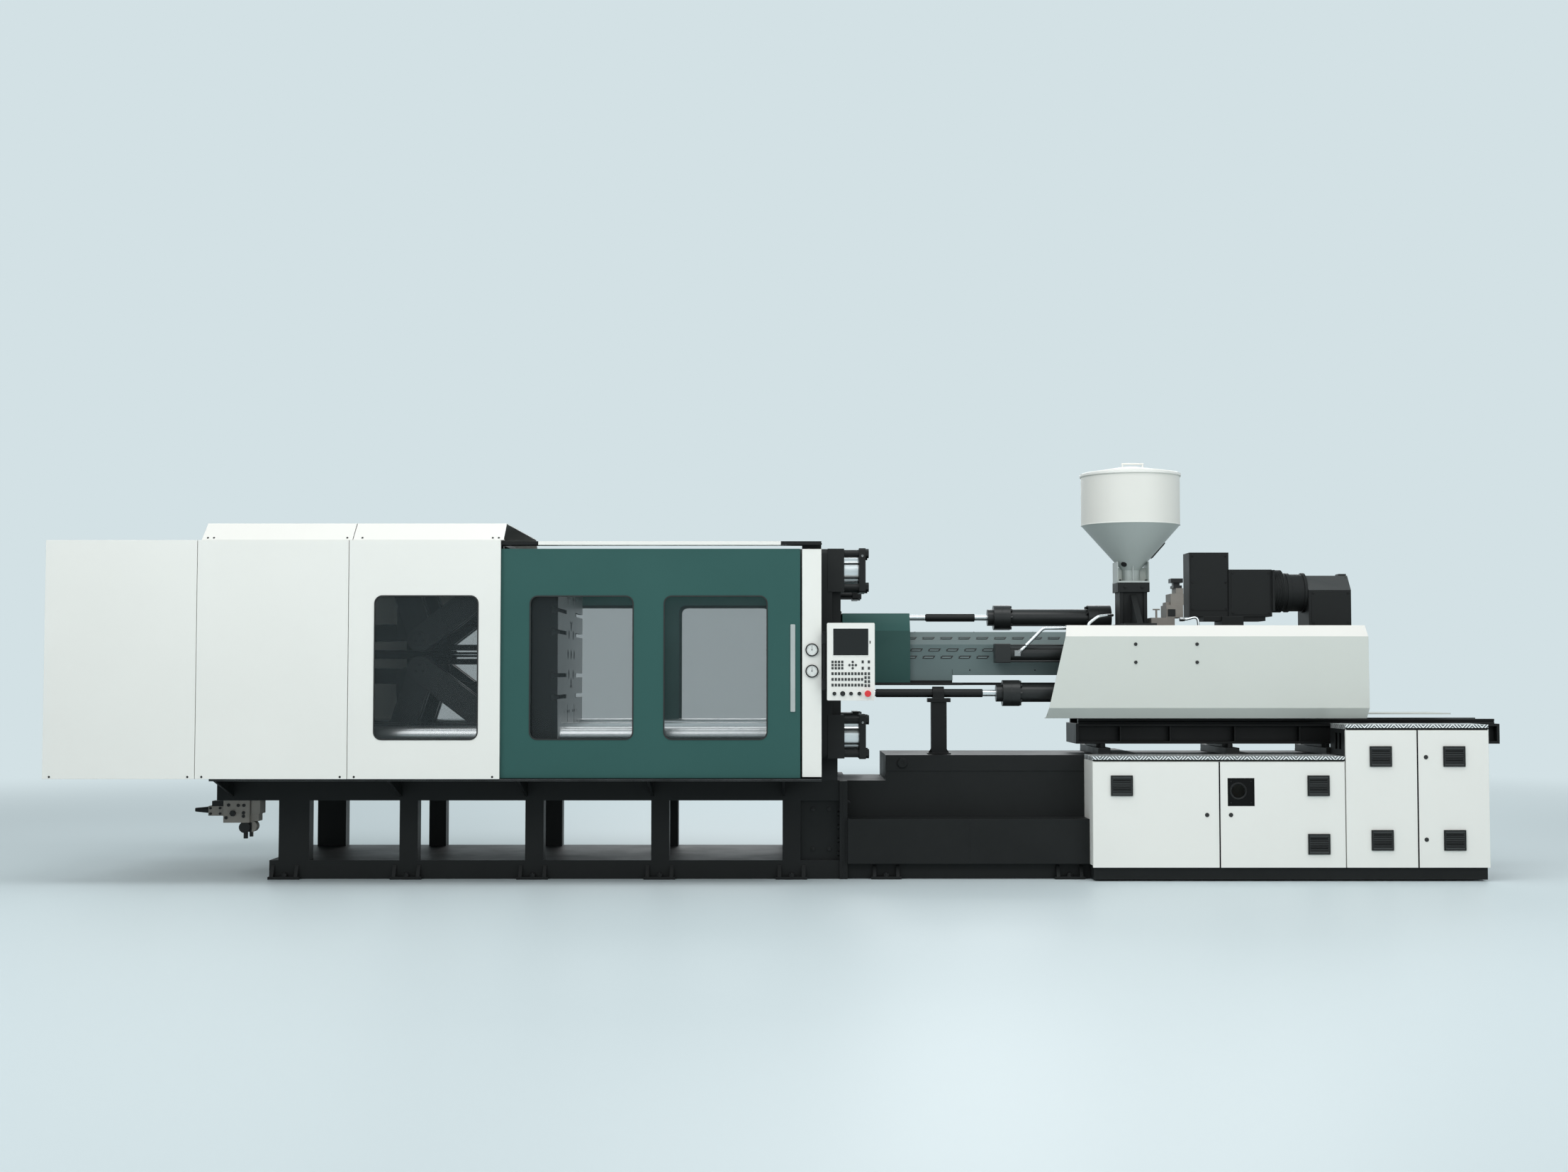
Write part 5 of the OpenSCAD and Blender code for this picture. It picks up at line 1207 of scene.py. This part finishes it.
@dataclass
class ClampTrim:
    """Pin caps, bolts and hoses of the clamp."""

    pin_h: float = 600.0
    elbow_h: float = 105.0
    pin_a: float = -2759.97
    pin_b: float = -2599.14
    pin_c: float = -1947.0
    out: float = 458.0
    elbow_out: float = 457.0
    cap: float = 8.0
    pin_cap: float = 56.0
    elbow_cap: float = 50.0
    bar_h: float = 562.0
    # Retainers' set screws: along the machine, away from its middle, above the bar
    retainer: Point = (452.0, 790.0, 96.0)
    hose_y: float = -60.0
    hose_r: float = 11.0
    hose_bend: float = 120.0
    beam_xs: range = range(-2600, -1900, 70)
    beam_y: float = -70.0
    beam_h: float = 50.0

    def caps(self, name: str, body: str, x: float, heights: Sequence[float], y: float, radius: float) -> None:
        """Puts a cap plate with bolts on each pin end of one body.

        Args:
            name: the pieces' name.
            body: the body that carries them.
            x: the pins' place along the machine.
            heights: the pins' heights.
            y: the outer face of the pin, from the centre line.
            radius: the radius of the caps.
        """
        plates = Solid()
        spots: list[Spot] = []
        for z in heights:
            for side, aim in SIDES:
                plates.disc(Axis.Y, (x, 0, z), radius, sided(side, y - 1, y + self.cap))
                bolts = circle(3, radius * 0.6, 90)
                spots += [((x + u, side * (y + self.cap), z + v), aim) for u, v in bolts]
        plates.piece(name, LINK_STEEL, body, "link_steel", 1.0)
        screws(name + "_bolts", body, Head.CAP, 16, spots)

    def hoses(self) -> None:
        """Loops four hoses from the ejector's beam to the moving platen."""
        solid = Solid()
        for sign in (1, -1):
            for lag in (0, 34):
                bow = ((-2540, 190 - lag), (-2330 + lag, 250 - lag), (-2120, 165 - lag))
                path = ((-2570, 74), *bow, (-1838, 118 - lag / 2))
                points = [(x, self.hose_y, AXIS_H + sign * rise) for x, rise in path]
                solid.tube(bent(points, self.hose_bend, 8), self.hose_r)
        solid.piece("ejector_hoses", RUBBER, "moving_platen", "black_plastic")

    def build(self) -> None:
        """Builds the clamp's trim."""
        pins = (AXIS_H + self.pin_h, AXIS_H - self.pin_h)
        self.caps("tail_pin_caps", "tail_stock", self.pin_a, pins, self.out, self.pin_cap)
        self.caps("platen_pin_caps", "moving_platen", self.pin_c, pins, self.out, self.pin_cap)
        for half, sign in (("upper", 1), ("lower", -1)):
            elbow = (AXIS_H + sign * self.elbow_h,)
            link = f"front_link_{half}"
            self.caps(f"elbow_caps_{half}", link, self.pin_b, elbow, self.elbow_out, self.elbow_cap)
        dots: list[Spot] = []
        x, y, up = self.retainer
        for side, aim in SIDES:
            levels = (AXIS_H + self.bar_h + up, AXIS_H - self.bar_h + up)
            dots += grid(aim, (x,), (side * y,), levels)
        screws("retainer_set_screws", "frame", Head.CAP, 16, dots, MILLED_STEEL, "zinc")
        self.hoses()
        beam = grid(FRONT, self.beam_xs, (self.beam_y,), (AXIS_H - self.beam_h, AXIS_H + self.beam_h))
        screws("ejector_beam_bolts", "moving_platen", Head.CAP, 14, beam)


@dataclass
class PlatenTrim:
    """Dark rings and discs on the mould face of the moving platen: painted shade in its knock-out and tapped
    holes.
    """

    face: float = -1600.0
    ring: float = 200.0
    bore: float = 50.0
    insert: float = 11.0
    # Dark discs for tapped holes, away from the middle and up: one in each quarter, then three
    column: Span = (55.0, 228.0)
    row: Span = (100.0, 400.0)
    row_step: float = 70.0

    def build(self) -> None:
        """Sets a dark ring round each knock-out hole, and dark discs between the slots: painted shade in the
        holes.
        """
        inner, outer = self.bore / 2 + 0.6, self.bore / 2 + 9
        profile = [(inner, -0.4), (outer, -0.4), (outer, 0.8), (inner, 1.2)]
        bush = Solid().lathe(Axis.Z, ORIGIN, profile, 32).template("bush", BLACK_OXIDE)
        holes = [(0.0, 0.0)] + circle(8, self.ring)
        spots = [((self.face, y, AXIS_H + z), RIGHT) for y, z in holes]
        Pattern("knock_out_bushes", BLACK_OXIDE, "moving_platen", "black_plastic").at(bush, spots)
        insert = Solid().disc(Axis.Z, ORIGIN, self.insert, (-0.4, 0.8), 16).template("insert", MATT_BLACK_AND_PAINTED_SHADE)
        away, up = self.column
        spots = grid(RIGHT, (self.face,), (-away, away), (AXIS_H - up, AXIS_H + up))
        away, up = self.row
        ys = [side * (away + self.row_step * k) for side, _ in SIDES for k in range(3)]
        spots += grid(RIGHT, (self.face,), ys, (AXIS_H - up, AXIS_H + up))
        Pattern("platen_inserts", MATT_BLACK_AND_PAINTED_SHADE, "moving_platen", "black_plastic").at(insert, spots)


@dataclass
class BedTrim:
    """Levelling bolts, joint bolts, tray seams and the round cap of both beds."""

    clamp_feet: tuple[float, ...] = (-3470.0, -2642.0, -1785.0, -923.0, -27.0)
    clamp_foot_y: float = 646.0
    injection_feet: tuple[float, ...] = (616.0, 1863.0, 3085.0, 4500.0)
    injection_foot_y: float = 632.0
    foot_top: float = 18.0
    joint_front: float = -581.0
    joint_end: float = 355.0
    seam_xs: Span = (348.0, 1182.0)
    seam_z: Span = (112.0, 404.0)
    # Middle of the round cap on the bed's front
    cap: Point = (739.0, -440.0, 776.0)

    def build(self) -> None:
        """Builds the beds' trim."""
        rows = ((self.clamp_feet, self.clamp_foot_y), (self.injection_feet, self.injection_foot_y))
        feet = [spot for xs, y in rows for spot in grid(UP, xs, (-y, y), (self.foot_top,))]
        screws("levelling_bolts", "frame", Head.HEX, 36, feet)
        joint = grid(FRONT, (120.0, 230.0), (self.joint_front,), (200.0, 470.0))
        joint += grid(RIGHT, (self.joint_end,), (-610.0, -585.0), (160.0, 280.0, 400.0, 520.0))
        screws("joint_bolts", "frame", Head.HEX, 22, joint)
        lines = Solid()
        for x in self.seam_xs:
            lines.box((x, x + 3), (-671.2, -669), self.seam_z)
        lines.piece("tray_seams", BLACK_OXIDE, "frame", "dark_paint")
        cap = Solid().lathe(Axis.Y, self.cap, [(12, -5), (30, -5), (34, -2), (34, 1), (12, 1)], 36)
        cap.disc(Axis.Y, self.cap, 13, (self.cap[1] - 3, self.cap[1] + 2), 6)
        cap.piece("bed_cap", ENAMEL_CHARCOAL, "frame", "dark_paint", 0.8)


@dataclass
class CabinetTrim:
    """Louvres of the air filters, lock rings, top screws and the fan port of the cabinets."""

    face: float = -800.0
    width: float = 146.0
    height: float = 136.0
    rim: float = 9.0
    lap: float = 0.6
    slats: int = 9
    # Cabinet, door, and the filters' lower left corners in X and Z
    filter_places: tuple[tuple[str, str, tuple[Span, ...]], ...] = (
        ("low", "left", ((2119, 573),)),
        ("low", "right", ((3440, 573), (3440, 182))),
        ("tall", "left", ((3861, 769), (3866, 208))),
        ("tall", "right", ((4355, 769), (4352, 208))),
    )
    # Cabinet, door, and the locks' middles in X and Z
    lock_places: tuple[tuple[str, str, tuple[Span, ...]], ...] = (
        ("low", "left", ((2764, 445),)),
        ("low", "right", ((2924, 445),)),
        ("tall", "right", ((4239, 832), (4236, 280))),
    )
    # Middle of the fan port in X and Z
    fan: Span = (2975.0, 605.0)
    fan_xs: Span = (2926.0, 3061.0)
    fan_zs: Span = (527.0, 669.0)
    top_xs: tuple[range, range] = (range(2060, 3680, 180), range(3760, 4640, 180))
    top_zs: Span = (822.0, 1035.0)

    def filters(self, name: str, body: str, places: Sequence[Span]) -> None:
        """Builds the hood and slats of each air filter of one door.

        Args:
            name: the pieces' name.
            body: the door's body.
            places: the lower left corners of the filters, in X and Z.
        """
        face, rim, lap = self.face, self.rim, self.lap
        hoods = Solid()
        for x, z in places:
            left, right, low, high = x - lap, x + self.width + lap, z - lap, z + self.height + lap
            bars = [((left, right), (low, low + rim)), ((left, right), (high - rim, high))]
            bars += [(side, (low + rim, high - rim)) for side in ((left, left + rim), (right - rim, right))]
            for across, up in bars:
                hoods.box(across, (face - 12.6, face + 0.2), up)
        hoods.piece(name + "_frames", ENAMEL_CHARCOAL, body, "dark_paint", 1.2)
        step = (self.height - 22) / self.slats
        for i, (x, z) in enumerate(places):
            blade = [(face - 12.0, z + 8), (face - 10.4, z + 8), (face - 4.0, z + 17), (face - 5.8, z + 17.6)]
            slat = Solid().prism(Axis.X, blade, (x + 8, x + self.width - 8)).template("slat", ENAMEL_CHARCOAL)
            pattern = Pattern(f"{name}_slats_{i}", ENAMEL_CHARCOAL, body, "dark_paint")
            pattern.along(slat, self.slats, (0, 0, step))

    def locks(self, name: str, body: str, places: Sequence[Span]) -> None:
        """Builds the ring, barrel and key slot of each lock of one door.

        Args:
            name: the piece's name.
            body: the door's body.
            places: the middles of the locks, in X and Z.
        """
        face = self.face
        rings = Solid()
        for x, z in places:
            rings.lathe(Axis.Y, (x, face, z), [(9, -4), (14, -3), (15, 0.3), (9, 0.3)], 28)
            rings.disc(Axis.Y, (x, 0, z), 9.4, (face - 2.6, face), 24)
            rings.box((x - 1.6, x + 1.6), (face - 3.2, face - 2.4), (z - 6, z + 6))
        rings.piece(name, ABS_BLACK, body, "black_plastic", 0.5)

    def build(self) -> None:
        """Builds the trim of all four doors."""
        for cabinet, hand, places in self.filter_places:
            self.filters(f"{cabinet}_{hand}_filter", f"{cabinet}_door_{hand}", places)
        for cabinet, hand, places in self.lock_places:
            self.locks(f"{cabinet}_{hand}_lock", f"{cabinet}_door_{hand}", places)
        ring = [(46, -3), (50, -5), (56, -5), (60, 0.2), (46, 0.2)]
        port = Solid().lathe(Axis.Y, (self.fan[0], self.face, self.fan[1]), ring)
        port.piece("fan_port_ring", BLACK_OXIDE, "low_door_right", "dark_paint", 0.6)
        around = grid(FRONT, self.fan_xs, (self.face,), self.fan_zs)
        screws("fan_port_screws", "low_door_right", Head.BUTTON, 9, around)
        rows = zip(self.top_xs, self.top_zs)
        tops = [spot for xs, z in rows for spot in grid(FRONT, xs, (self.face,), (z,))]
        screws("cabinet_top_screws", "frame", Head.BUTTON, 9, tops, ZINC_SHEET, "zinc")


@dataclass(frozen=True)
class LouvreRow:
    """A row of louvres: its start, its distance from the middle, its height, and whether it slopes."""

    start: float
    away: float
    low: float
    sloped: bool


@dataclass
class BarrelTrim:
    """Pressed louvres, screws and lower rail of the barrel cover."""

    start: float = 374.0
    pitch: float = 127.0
    half_w: float = 168.0
    count: int = 13
    lean: Span = (0.567, 0.8235)
    rows: tuple[LouvreRow, ...] = (
        LouvreRow(16.0, 168.0, 1500.5, False),
        LouvreRow(56.0, 168.0, 1551.5, False),
        LouvreRow(16.0, 143.5, 1635.5, True),
    )
    # Screws along the cover, from its start
    top_screws: tuple[float, ...] = (60.0, 480.0, 900.0, 1320.0, 1740.0)
    top_h: float = 1690.0
    side_screws: tuple[float, ...] = (325.0, 372.0, 860.0, 1320.0, 1740.0)
    side_h: float = 1420.0
    rail_x: Span = (376.0, 1110.0)
    rail_y: Span = (96.0, 166.0)
    rail_z: Span = (1331.1, 1345.8)
    seam_x: Span = (1108.0, 1111.0)
    seam_z: Span = (1386.0, 1424.0)

    def leaning(self, solid: Solid, row: LouvreRow, side: int, shape: Sequence[Point]) -> None:
        """Adds a leaning plate of a louvre to a solid.

        Args:
            solid: the solid that takes it.
            row: the row that it belongs to.
            side: minus one in front and plus one at the rear.
            shape: its corners, as place along the cover, place up the face, and how far they stand out.
        """
        flat, steep = self.lean if row.sloped else (0.0, 1.0)
        up, out = Vector((0, -flat * side, steep)), Vector((0, steep * side, flat))
        origin = Vector((self.start + row.start, side * row.away, row.low))
        places = [(origin + Vector((u, 0, 0)) + up * v, w) for u, v, w in shape]
        solid.loft([[place - out * 0.4 for place, _ in places], [place + out * w for place, w in places]])

    def louvres(self, name: str, coat: Finish, shape: Sequence[Point]) -> None:
        """Repeats one column of louvres along the cover.

        Args:
            name: the piece's name.
            coat: its finish.
            shape: the corners of one louvre, as in leaning.
        """
        column = Solid()
        for row in self.rows:
            for side, _ in SIDES:
                self.leaning(column, row, side, shape)
        template = column.template("louvre_column", coat)
        Pattern(name, coat, "carriage", "grey_paint").along(template, self.count, (self.pitch, 0, 0))

    def build(self) -> None:
        """Builds the louvres, the screws and the rail."""
        # The black plates behind the hoods are painted shade in the louvres' openings
        self.louvres("louvre_slots", ABS_BLACK, ((0, 0, 0.5), (80, 0, 0.5), (94, 21, 0.5), (14, 21, 0.5)))
        self.louvres("louvre_hoods", ENAMEL_GREY, ((10, 5, 5.0), (73, 5, 5.0), (80, 13, 1.2), (17, 13, 1.2)))
        spots = grid(UP, [self.start + x for x in self.top_screws], (-60.0, 60.0), (self.top_h,))
        rail, seam = Solid(), Solid()
        for side, aim in SIDES:
            xs = [self.start + x for x in self.side_screws]
            spots += grid(aim, xs, (side * self.half_w,), (self.side_h,))
            rail.box(self.rail_x, sided(side, *self.rail_y), self.rail_z)
            seam.box(self.seam_x, sided(side, self.half_w - 0.5, self.half_w + 0.6), self.seam_z)
        screws("barrel_cover_screws", "carriage", Head.BUTTON, 11, spots)
        rail.piece("barrel_cover_rail", BLACK_OXIDE, "carriage", "dark_paint", 1.0)
        seam.piece("barrel_cover_seam", ABS_BLACK, "carriage", "black_plastic")


@dataclass
class CarriageTrim:
    """Pipes, fittings and screws of the injection carriage."""

    cover_y: float = -500.0
    # Middles of both cylinders in Y and Z
    cylinders: tuple[Span, ...] = ((-280.0, 1258.0), (280.0, 1802.0))
    grooves: tuple[float, ...] = (1503.3, 2431.3)
    feed_y: float = -330.0
    feed: tuple[Span, ...] = ((1570, 1548), (1600, 1578), (1734, 1712), (1960, 1712), (2040, 1690))
    back: tuple[Point, ...] = (
        (2039, -380, 1690),
        (2039, -380, 1740),
        (2108, -380, 1792),
        (2180, -330, 1800),
        (2240, -190, 1806),
    )
    link_y: float = -200.0
    link: tuple[Span, ...] = ((2728, 1777), (2760, 1777), (2839, 1796), (2848, 1700))
    fitting_starts: tuple[Spot, ...] = (
        ((1556, -330, 1534), (1, 0, 1)),
        ((2039, -380, 1682), UP),
        ((2712, -200, 1777), RIGHT),
    )
    fastener_xs: Span = (2347.0, 2770.0)
    fastener_zs: Span = (1597.0, 1472.0)
    flange_x: float = 2133.0
    flange_r: float = 78.0

    def pipes(self) -> None:
        """Bends the three chromed pipes and sets a fitting where each starts."""
        feed = [(x, self.feed_y, z) for x, z in self.feed]
        link = [(x, self.link_y, z) for x, z in self.link]
        pipes = Solid()
        for points, bend, radius in ((feed, 50, 12), (self.back, 45, 10), (link, 30, 9)):
            pipes.tube(bent(points, bend), radius, 14)
        pipes.piece("hydraulic_pipes", HARD_CHROME, "carriage", "chrome")
        ends = Solid()
        for point, aim in self.fitting_starts:
            here, ahead = Vector(point), Vector(aim).normalized()
            ends.tube([here, here + ahead * 24], 17, 6)
            ends.tube([here + ahead * 22, here + ahead * 36], 14, 14)
        ends.box((1530, 1572), (-346, -300), (1516, 1556))
        ends.piece("pipe_fittings", MILLED_STEEL, "carriage", "zinc", 1.0)

    def build(self) -> None:
        """Builds the carriage's pipes, fittings and fasteners."""
        self.pipes()
        caps, grooves = Solid(), Solid()
        profile = [(3, -8), (9, -8), (12, -5), (12, 0.4), (3, 0.4)]
        for x, z in product(self.fastener_xs, self.fastener_zs):
            caps.lathe(Axis.Y, (x, self.cover_y, z), profile, 24)
            caps.disc(Axis.Y, (x, 0, z), 3.5, (self.cover_y - 7, self.cover_y - 3), 6)
        caps.piece("cover_fasteners", ABS_BLACK, "carriage", "black_plastic", 0.6)
        flanges: list[Spot] = []
        for y, z in self.cylinders:
            for x in self.grooves:
                grooves.lathe(Axis.X, (x, y, z), [(86, 0.2), (90.4, 0.2), (90.4, 5.4), (86, 5.4)])
            bolts = circle(8, self.flange_r, 22.5)
            flanges += [((self.flange_x, y + u, z + v), LEFT) for u, v in bolts]
        grooves.piece("flange_grooves", ABS_BLACK, "carriage", "black_plastic")
        screws("cylinder_flange_bolts", "carriage", Head.HEX, 20, flanges)


@dataclass
class HopperTrim:
    """Bands, sight strip, sight hole and bolts of the hopper."""

    x: float = 2406.0
    radius: float = 350.0
    neck: float = 63.5
    cone_low: float = 2131.0
    cone_h: float = 325.0
    lean: float = 325.0 / 286.0
    hole_share: float = 0.13
    hole_turn: float = -128.0
    # Low edge, high edge, and how far out
    bands: tuple[Point, ...] = ((2800, 2812, 3.5), (2452, 2460, 1.5))
    # First and last share up the cone, half width, and height above it
    strips: tuple[tuple[float, ...], ...] = ((0.28, 0.62, 22, 7), (0.3, 0.6, 14, 9))
    foot: float = 92.0
    foot_h: float = 2053.0
    # Bolts in front of the throat: from its middle along X, then Y and Z
    throat: tuple[Span, float, float] = ((-60.0, 60.0), -113.0, 2008.0)

    def on_cone(self, share: float, turn: float = 0.0) -> Vector:
        """Finds a point on the cone.

        Args:
            share: how far up the cone it is, from zero to one.
            turn: its angle round the cone in degrees.

        Returns:
            The point in millimetres.
        """
        reach, angle = self.neck + (self.radius - self.neck) * share, math.radians(turn)
        x, y = self.x + reach * math.cos(angle), reach * math.sin(angle)
        return Vector((x, y, self.cone_low + self.cone_h * share))

    def build(self) -> None:
        """Builds the hopper's trim."""
        bands = Solid()
        inner = self.radius - 1
        for low, high, out in self.bands:
            outer = self.radius + out
            profile = [(inner, low), (outer, low + 1), (outer, high - 1), (inner, high)]
            bands.lathe(Axis.Z, (self.x, 0, 0), profile, 96)
        bands.piece("hopper_bands", POWDER_WHITE, "carriage", "white_paint")
        strip = Solid()
        lean = Vector((self.lean, 0, 1)).normalized()
        for first, last, wide, out in self.strips:
            away = Vector((lean.z, 0, -lean.x)) * out
            across = Vector((0, wide, 0))
            section = (away - across, away + across, across, -across)
            strip.loft([[self.on_cone(share) + corner for corner in section] for share in (first, last)])
        strip.piece("sight_strip", ABS_BLACK, "carriage", "black_plastic", 1.0)
        turn = math.radians(self.hole_turn)
        spot = self.on_cone(self.hole_share, self.hole_turn)
        out = Vector((math.cos(turn) * 0.75, math.sin(turn) * 0.75, -0.66)).normalized()
        # The black tube is painted shade inside the sight hole
        hole = Solid().tube([spot - out * 4, spot + out * 6], 21, 24)
        hole.piece("sight_hole", ABS_BLACK, "carriage", "black_plastic", 1.0)
        feet = (-self.foot, self.foot)
        bolts = grid(UP, [self.x + across for across in feet], feet, (self.foot_h,))
        reach, y, z = self.throat
        bolts += grid(FRONT, [self.x + across for across in reach], (y,), (z,))
        screws("hopper_bolts", "carriage", Head.HEX, 16, bolts)


@dataclass(frozen=True)
class Lid:
    """A cover plate on the drive's front: its spans, its face, and whether its sides have a middle screw."""

    across: Span
    face: float
    up: Span
    middle: bool = False


@dataclass
class DriveTrim:
    """Fins, lids and fasteners of the screw drive."""

    x: float = 2700.0
    fin_x: float = 704.0
    fin_h: float = 1983.0
    fins: int = 8
    fin_pitch: float = 9.0
    ring_h: float = 1972.0
    # Start, outer radius and width
    rings: tuple[Point, ...] = ((800, 140, 26), (918, 142, 20))
    inset: float = 12.0
    lids: tuple[Lid, ...] = (
        Lid((113, 373), -108.0, (1842, 2240), True),
        Lid((396, 676), -123.0, (1812, 2120)),
        Lid((958, 1228), -153.0, (1745, 1975)),
    )

    def build(self) -> None:
        """Builds the drive's fins, lids and fasteners."""
        x0 = self.x
        profile = [(140, 0), (152, 0), (152, 4), (140, 4)]
        fin = Solid().lathe(Axis.X, (x0 + self.fin_x, 0, self.fin_h), profile, 64)
        template = fin.template("fin", ENAMEL_CHARCOAL)
        fins = Pattern("coupling_fins", ENAMEL_CHARCOAL, "screw_drive", "dark_paint")
        fins.along(template, self.fins, (self.fin_pitch, 0, 0))
        rings = Solid()
        for x, outer, width in self.rings:
            profile = [(132, 0), (outer, 0), (outer, width), (132, width)]
            rings.lathe(Axis.X, (x0 + x, 0, self.ring_h), profile, 64)
        rings.piece("drive_rings", ENAMEL_CHARCOAL, "screw_drive", "dark_paint", 1.0)
        plates = Solid()
        spots: list[Spot] = []
        for lid in self.lids:
            left, right, low, high = x0 + lid.across[0], x0 + lid.across[1], *lid.up
            plates.box((left, right), (lid.face, lid.face + 3.5), lid.up)
            levels = [low + self.inset, high - self.inset] + ([(low + high) / 2] if lid.middle else [])
            spots += grid(FRONT, (left + self.inset, right - self.inset), (lid.face,), levels)
        plates.piece("drive_lids", ENAMEL_CHARCOAL, "screw_drive", "dark_paint", 1.0)
        screws("drive_screws", "screw_drive", Head.CAP, 11, spots)
        plugs = Solid().disc(Axis.Y, (x0 + 1222, 0, 2064), 15, (-74, -40), 24)
        plugs.box((x0 + 1180, x0 + 1236), (-40, 40), (2090, 2106))
        plugs.piece("motor_sockets", BLACK_OXIDE, "screw_drive", "black_plastic", 1.5)


@dataclass(frozen=True)
class Lamp:
    """A soft lamp: where it hangs and what it points at, in metres, its width and height, and its watts."""

    name: str
    place: Point
    aim: Point
    size: tuple[float, float]
    watts: float

    def hang(self) -> None:
        """Hangs the lamp."""
        data = bpy.data.lights.new(self.name, "AREA")
        data.shape = "RECTANGLE"
        data.size, data.size_y = self.size
        data.energy = self.watts
        lamp = linked(self.name, data)
        lamp.location = self.place
        lamp.rotation_euler = (Vector(self.aim) - Vector(self.place)).to_track_quat("-Z", "Y").to_euler()


@dataclass
class Studio:
    """Pale floor, soft lamps and the camera at the photograph's angle, all in metres."""

    pale: str = "#D3E1E5"
    room: str = "#F2F5F6"
    camera: Point = (-0.078, -14.02, 1.37)
    tilt: float = 92.66
    lens: float = 45.0
    fade: Span = (7.5, 17.0)
    lamps: tuple[Lamp, ...] = (
        Lamp("key_lamp", (-5.0, -11.0, 8.0), (0.0, 0.0, 1.2), (10.0, 5.0), 465),
        Lamp("fill_lamp", (8.0, -10.0, 5.0), (1.0, 0.0, 1.2), (8.0, 5.0), 270),
        Lamp("top_lamp", (0.0, -3.5, 8.5), (0.0, 0.0, 0.5), (12.0, 4.0), 370),
        Lamp("back_lamp", (2.0, 11.0, 6.0), (0.0, 0.0, 1.0), (10.0, 4.0), 380),
    )

    def floor(self) -> None:
        """Lays a wide pale floor that fades into the background far away."""
        bpy.ops.mesh.primitive_grid_add(x_subdivisions=4, y_subdivisions=4, size=400)
        sheet = bpy.context.object
        sheet.name = "studio_floor"
        made = bpy.data.materials.new("studio_floor")
        tree = emptied(made)
        place = add_node(tree, "ShaderNodeTexCoord")["Object"]
        reach = add_node(tree, "ShaderNodeVectorMath", {"operation": "LENGTH"}, {0: place})[1]
        ramp = {1: self.fade[0], 2: self.fade[1], "interpolation_type": "SMOOTHSTEP"}
        share = add_node(tree, "ShaderNodeMapRange", ramp, {0: reach})[0]
        pale = linear(self.pale)
        matt = add_node(tree, "ShaderNodeBsdfPrincipled", {"Base Color": pale, "Roughness": 0.45})[0]
        far = add_node(tree, "ShaderNodeEmission", {"Color": pale, "Strength": 1.0})[0]
        mixed = add_node(tree, "ShaderNodeMixShader", {}, {0: share, 1: matt, 2: far})[0]
        add_node(tree, "ShaderNodeOutputMaterial", {}, {"Surface": mixed})
        sheet.data.materials.append(made)

    def world(self) -> None:
        """Lights the room evenly, and shows a pale background."""
        room = bpy.data.worlds.new("studio")
        bpy.context.scene.world = room
        tree = emptied(room)
        path = add_node(tree, "ShaderNodeLightPath")
        rays = [path[f"Is {kind} Ray"] for kind in ("Camera", "Glossy", "Transmission")]
        lit = add_node(tree, "ShaderNodeBackground", {"Color": linear(self.room), "Strength": 0.42})[0]
        shown = add_node(tree, "ShaderNodeBackground", {"Color": linear(self.pale), "Strength": 1.0})[0]
        ends = {0: folded(tree, "MAXIMUM", rays), 1: lit, 2: shown}
        mixed = add_node(tree, "ShaderNodeMixShader", {}, ends)[0]
        add_node(tree, "ShaderNodeOutputWorld", {}, {"Surface": mixed})

    def build(self) -> None:
        """Builds the studio."""
        self.floor()
        self.world()
        for lamp in self.lamps:
            lamp.hang()
        data = bpy.data.cameras.new("camera")
        data.sensor_width = 36.0
        data.lens = self.lens
        data.clip_end = 800.0
        camera = linked("camera", data)
        camera.location = self.camera
        camera.rotation_euler = (math.radians(self.tilt), 0.0, 0.0)
        bpy.context.scene.camera = camera
        bpy.context.scene.view_settings.view_transform = "Standard"


# Every class that adds pieces to the skins, in the order that they are built
TRIMS = (
    CoverTrim,
    OperatorPanel,
    Gauges,
    ClampTrim,
    PlatenTrim,
    BedTrim,
    CabinetTrim,
    BarrelTrim,
    CarriageTrim,
    HopperTrim,
    DriveTrim,
)


def main() -> None:
    """Builds the machine's skins, trim and studio in order."""
    logging.basicConfig(level=logging.INFO, format="%(message)s")
    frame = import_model()
    Studio().build()
    CadSkins(frame).build()
    for trim in TRIMS:
        trim().build()


if __name__ == "__main__":
    main()
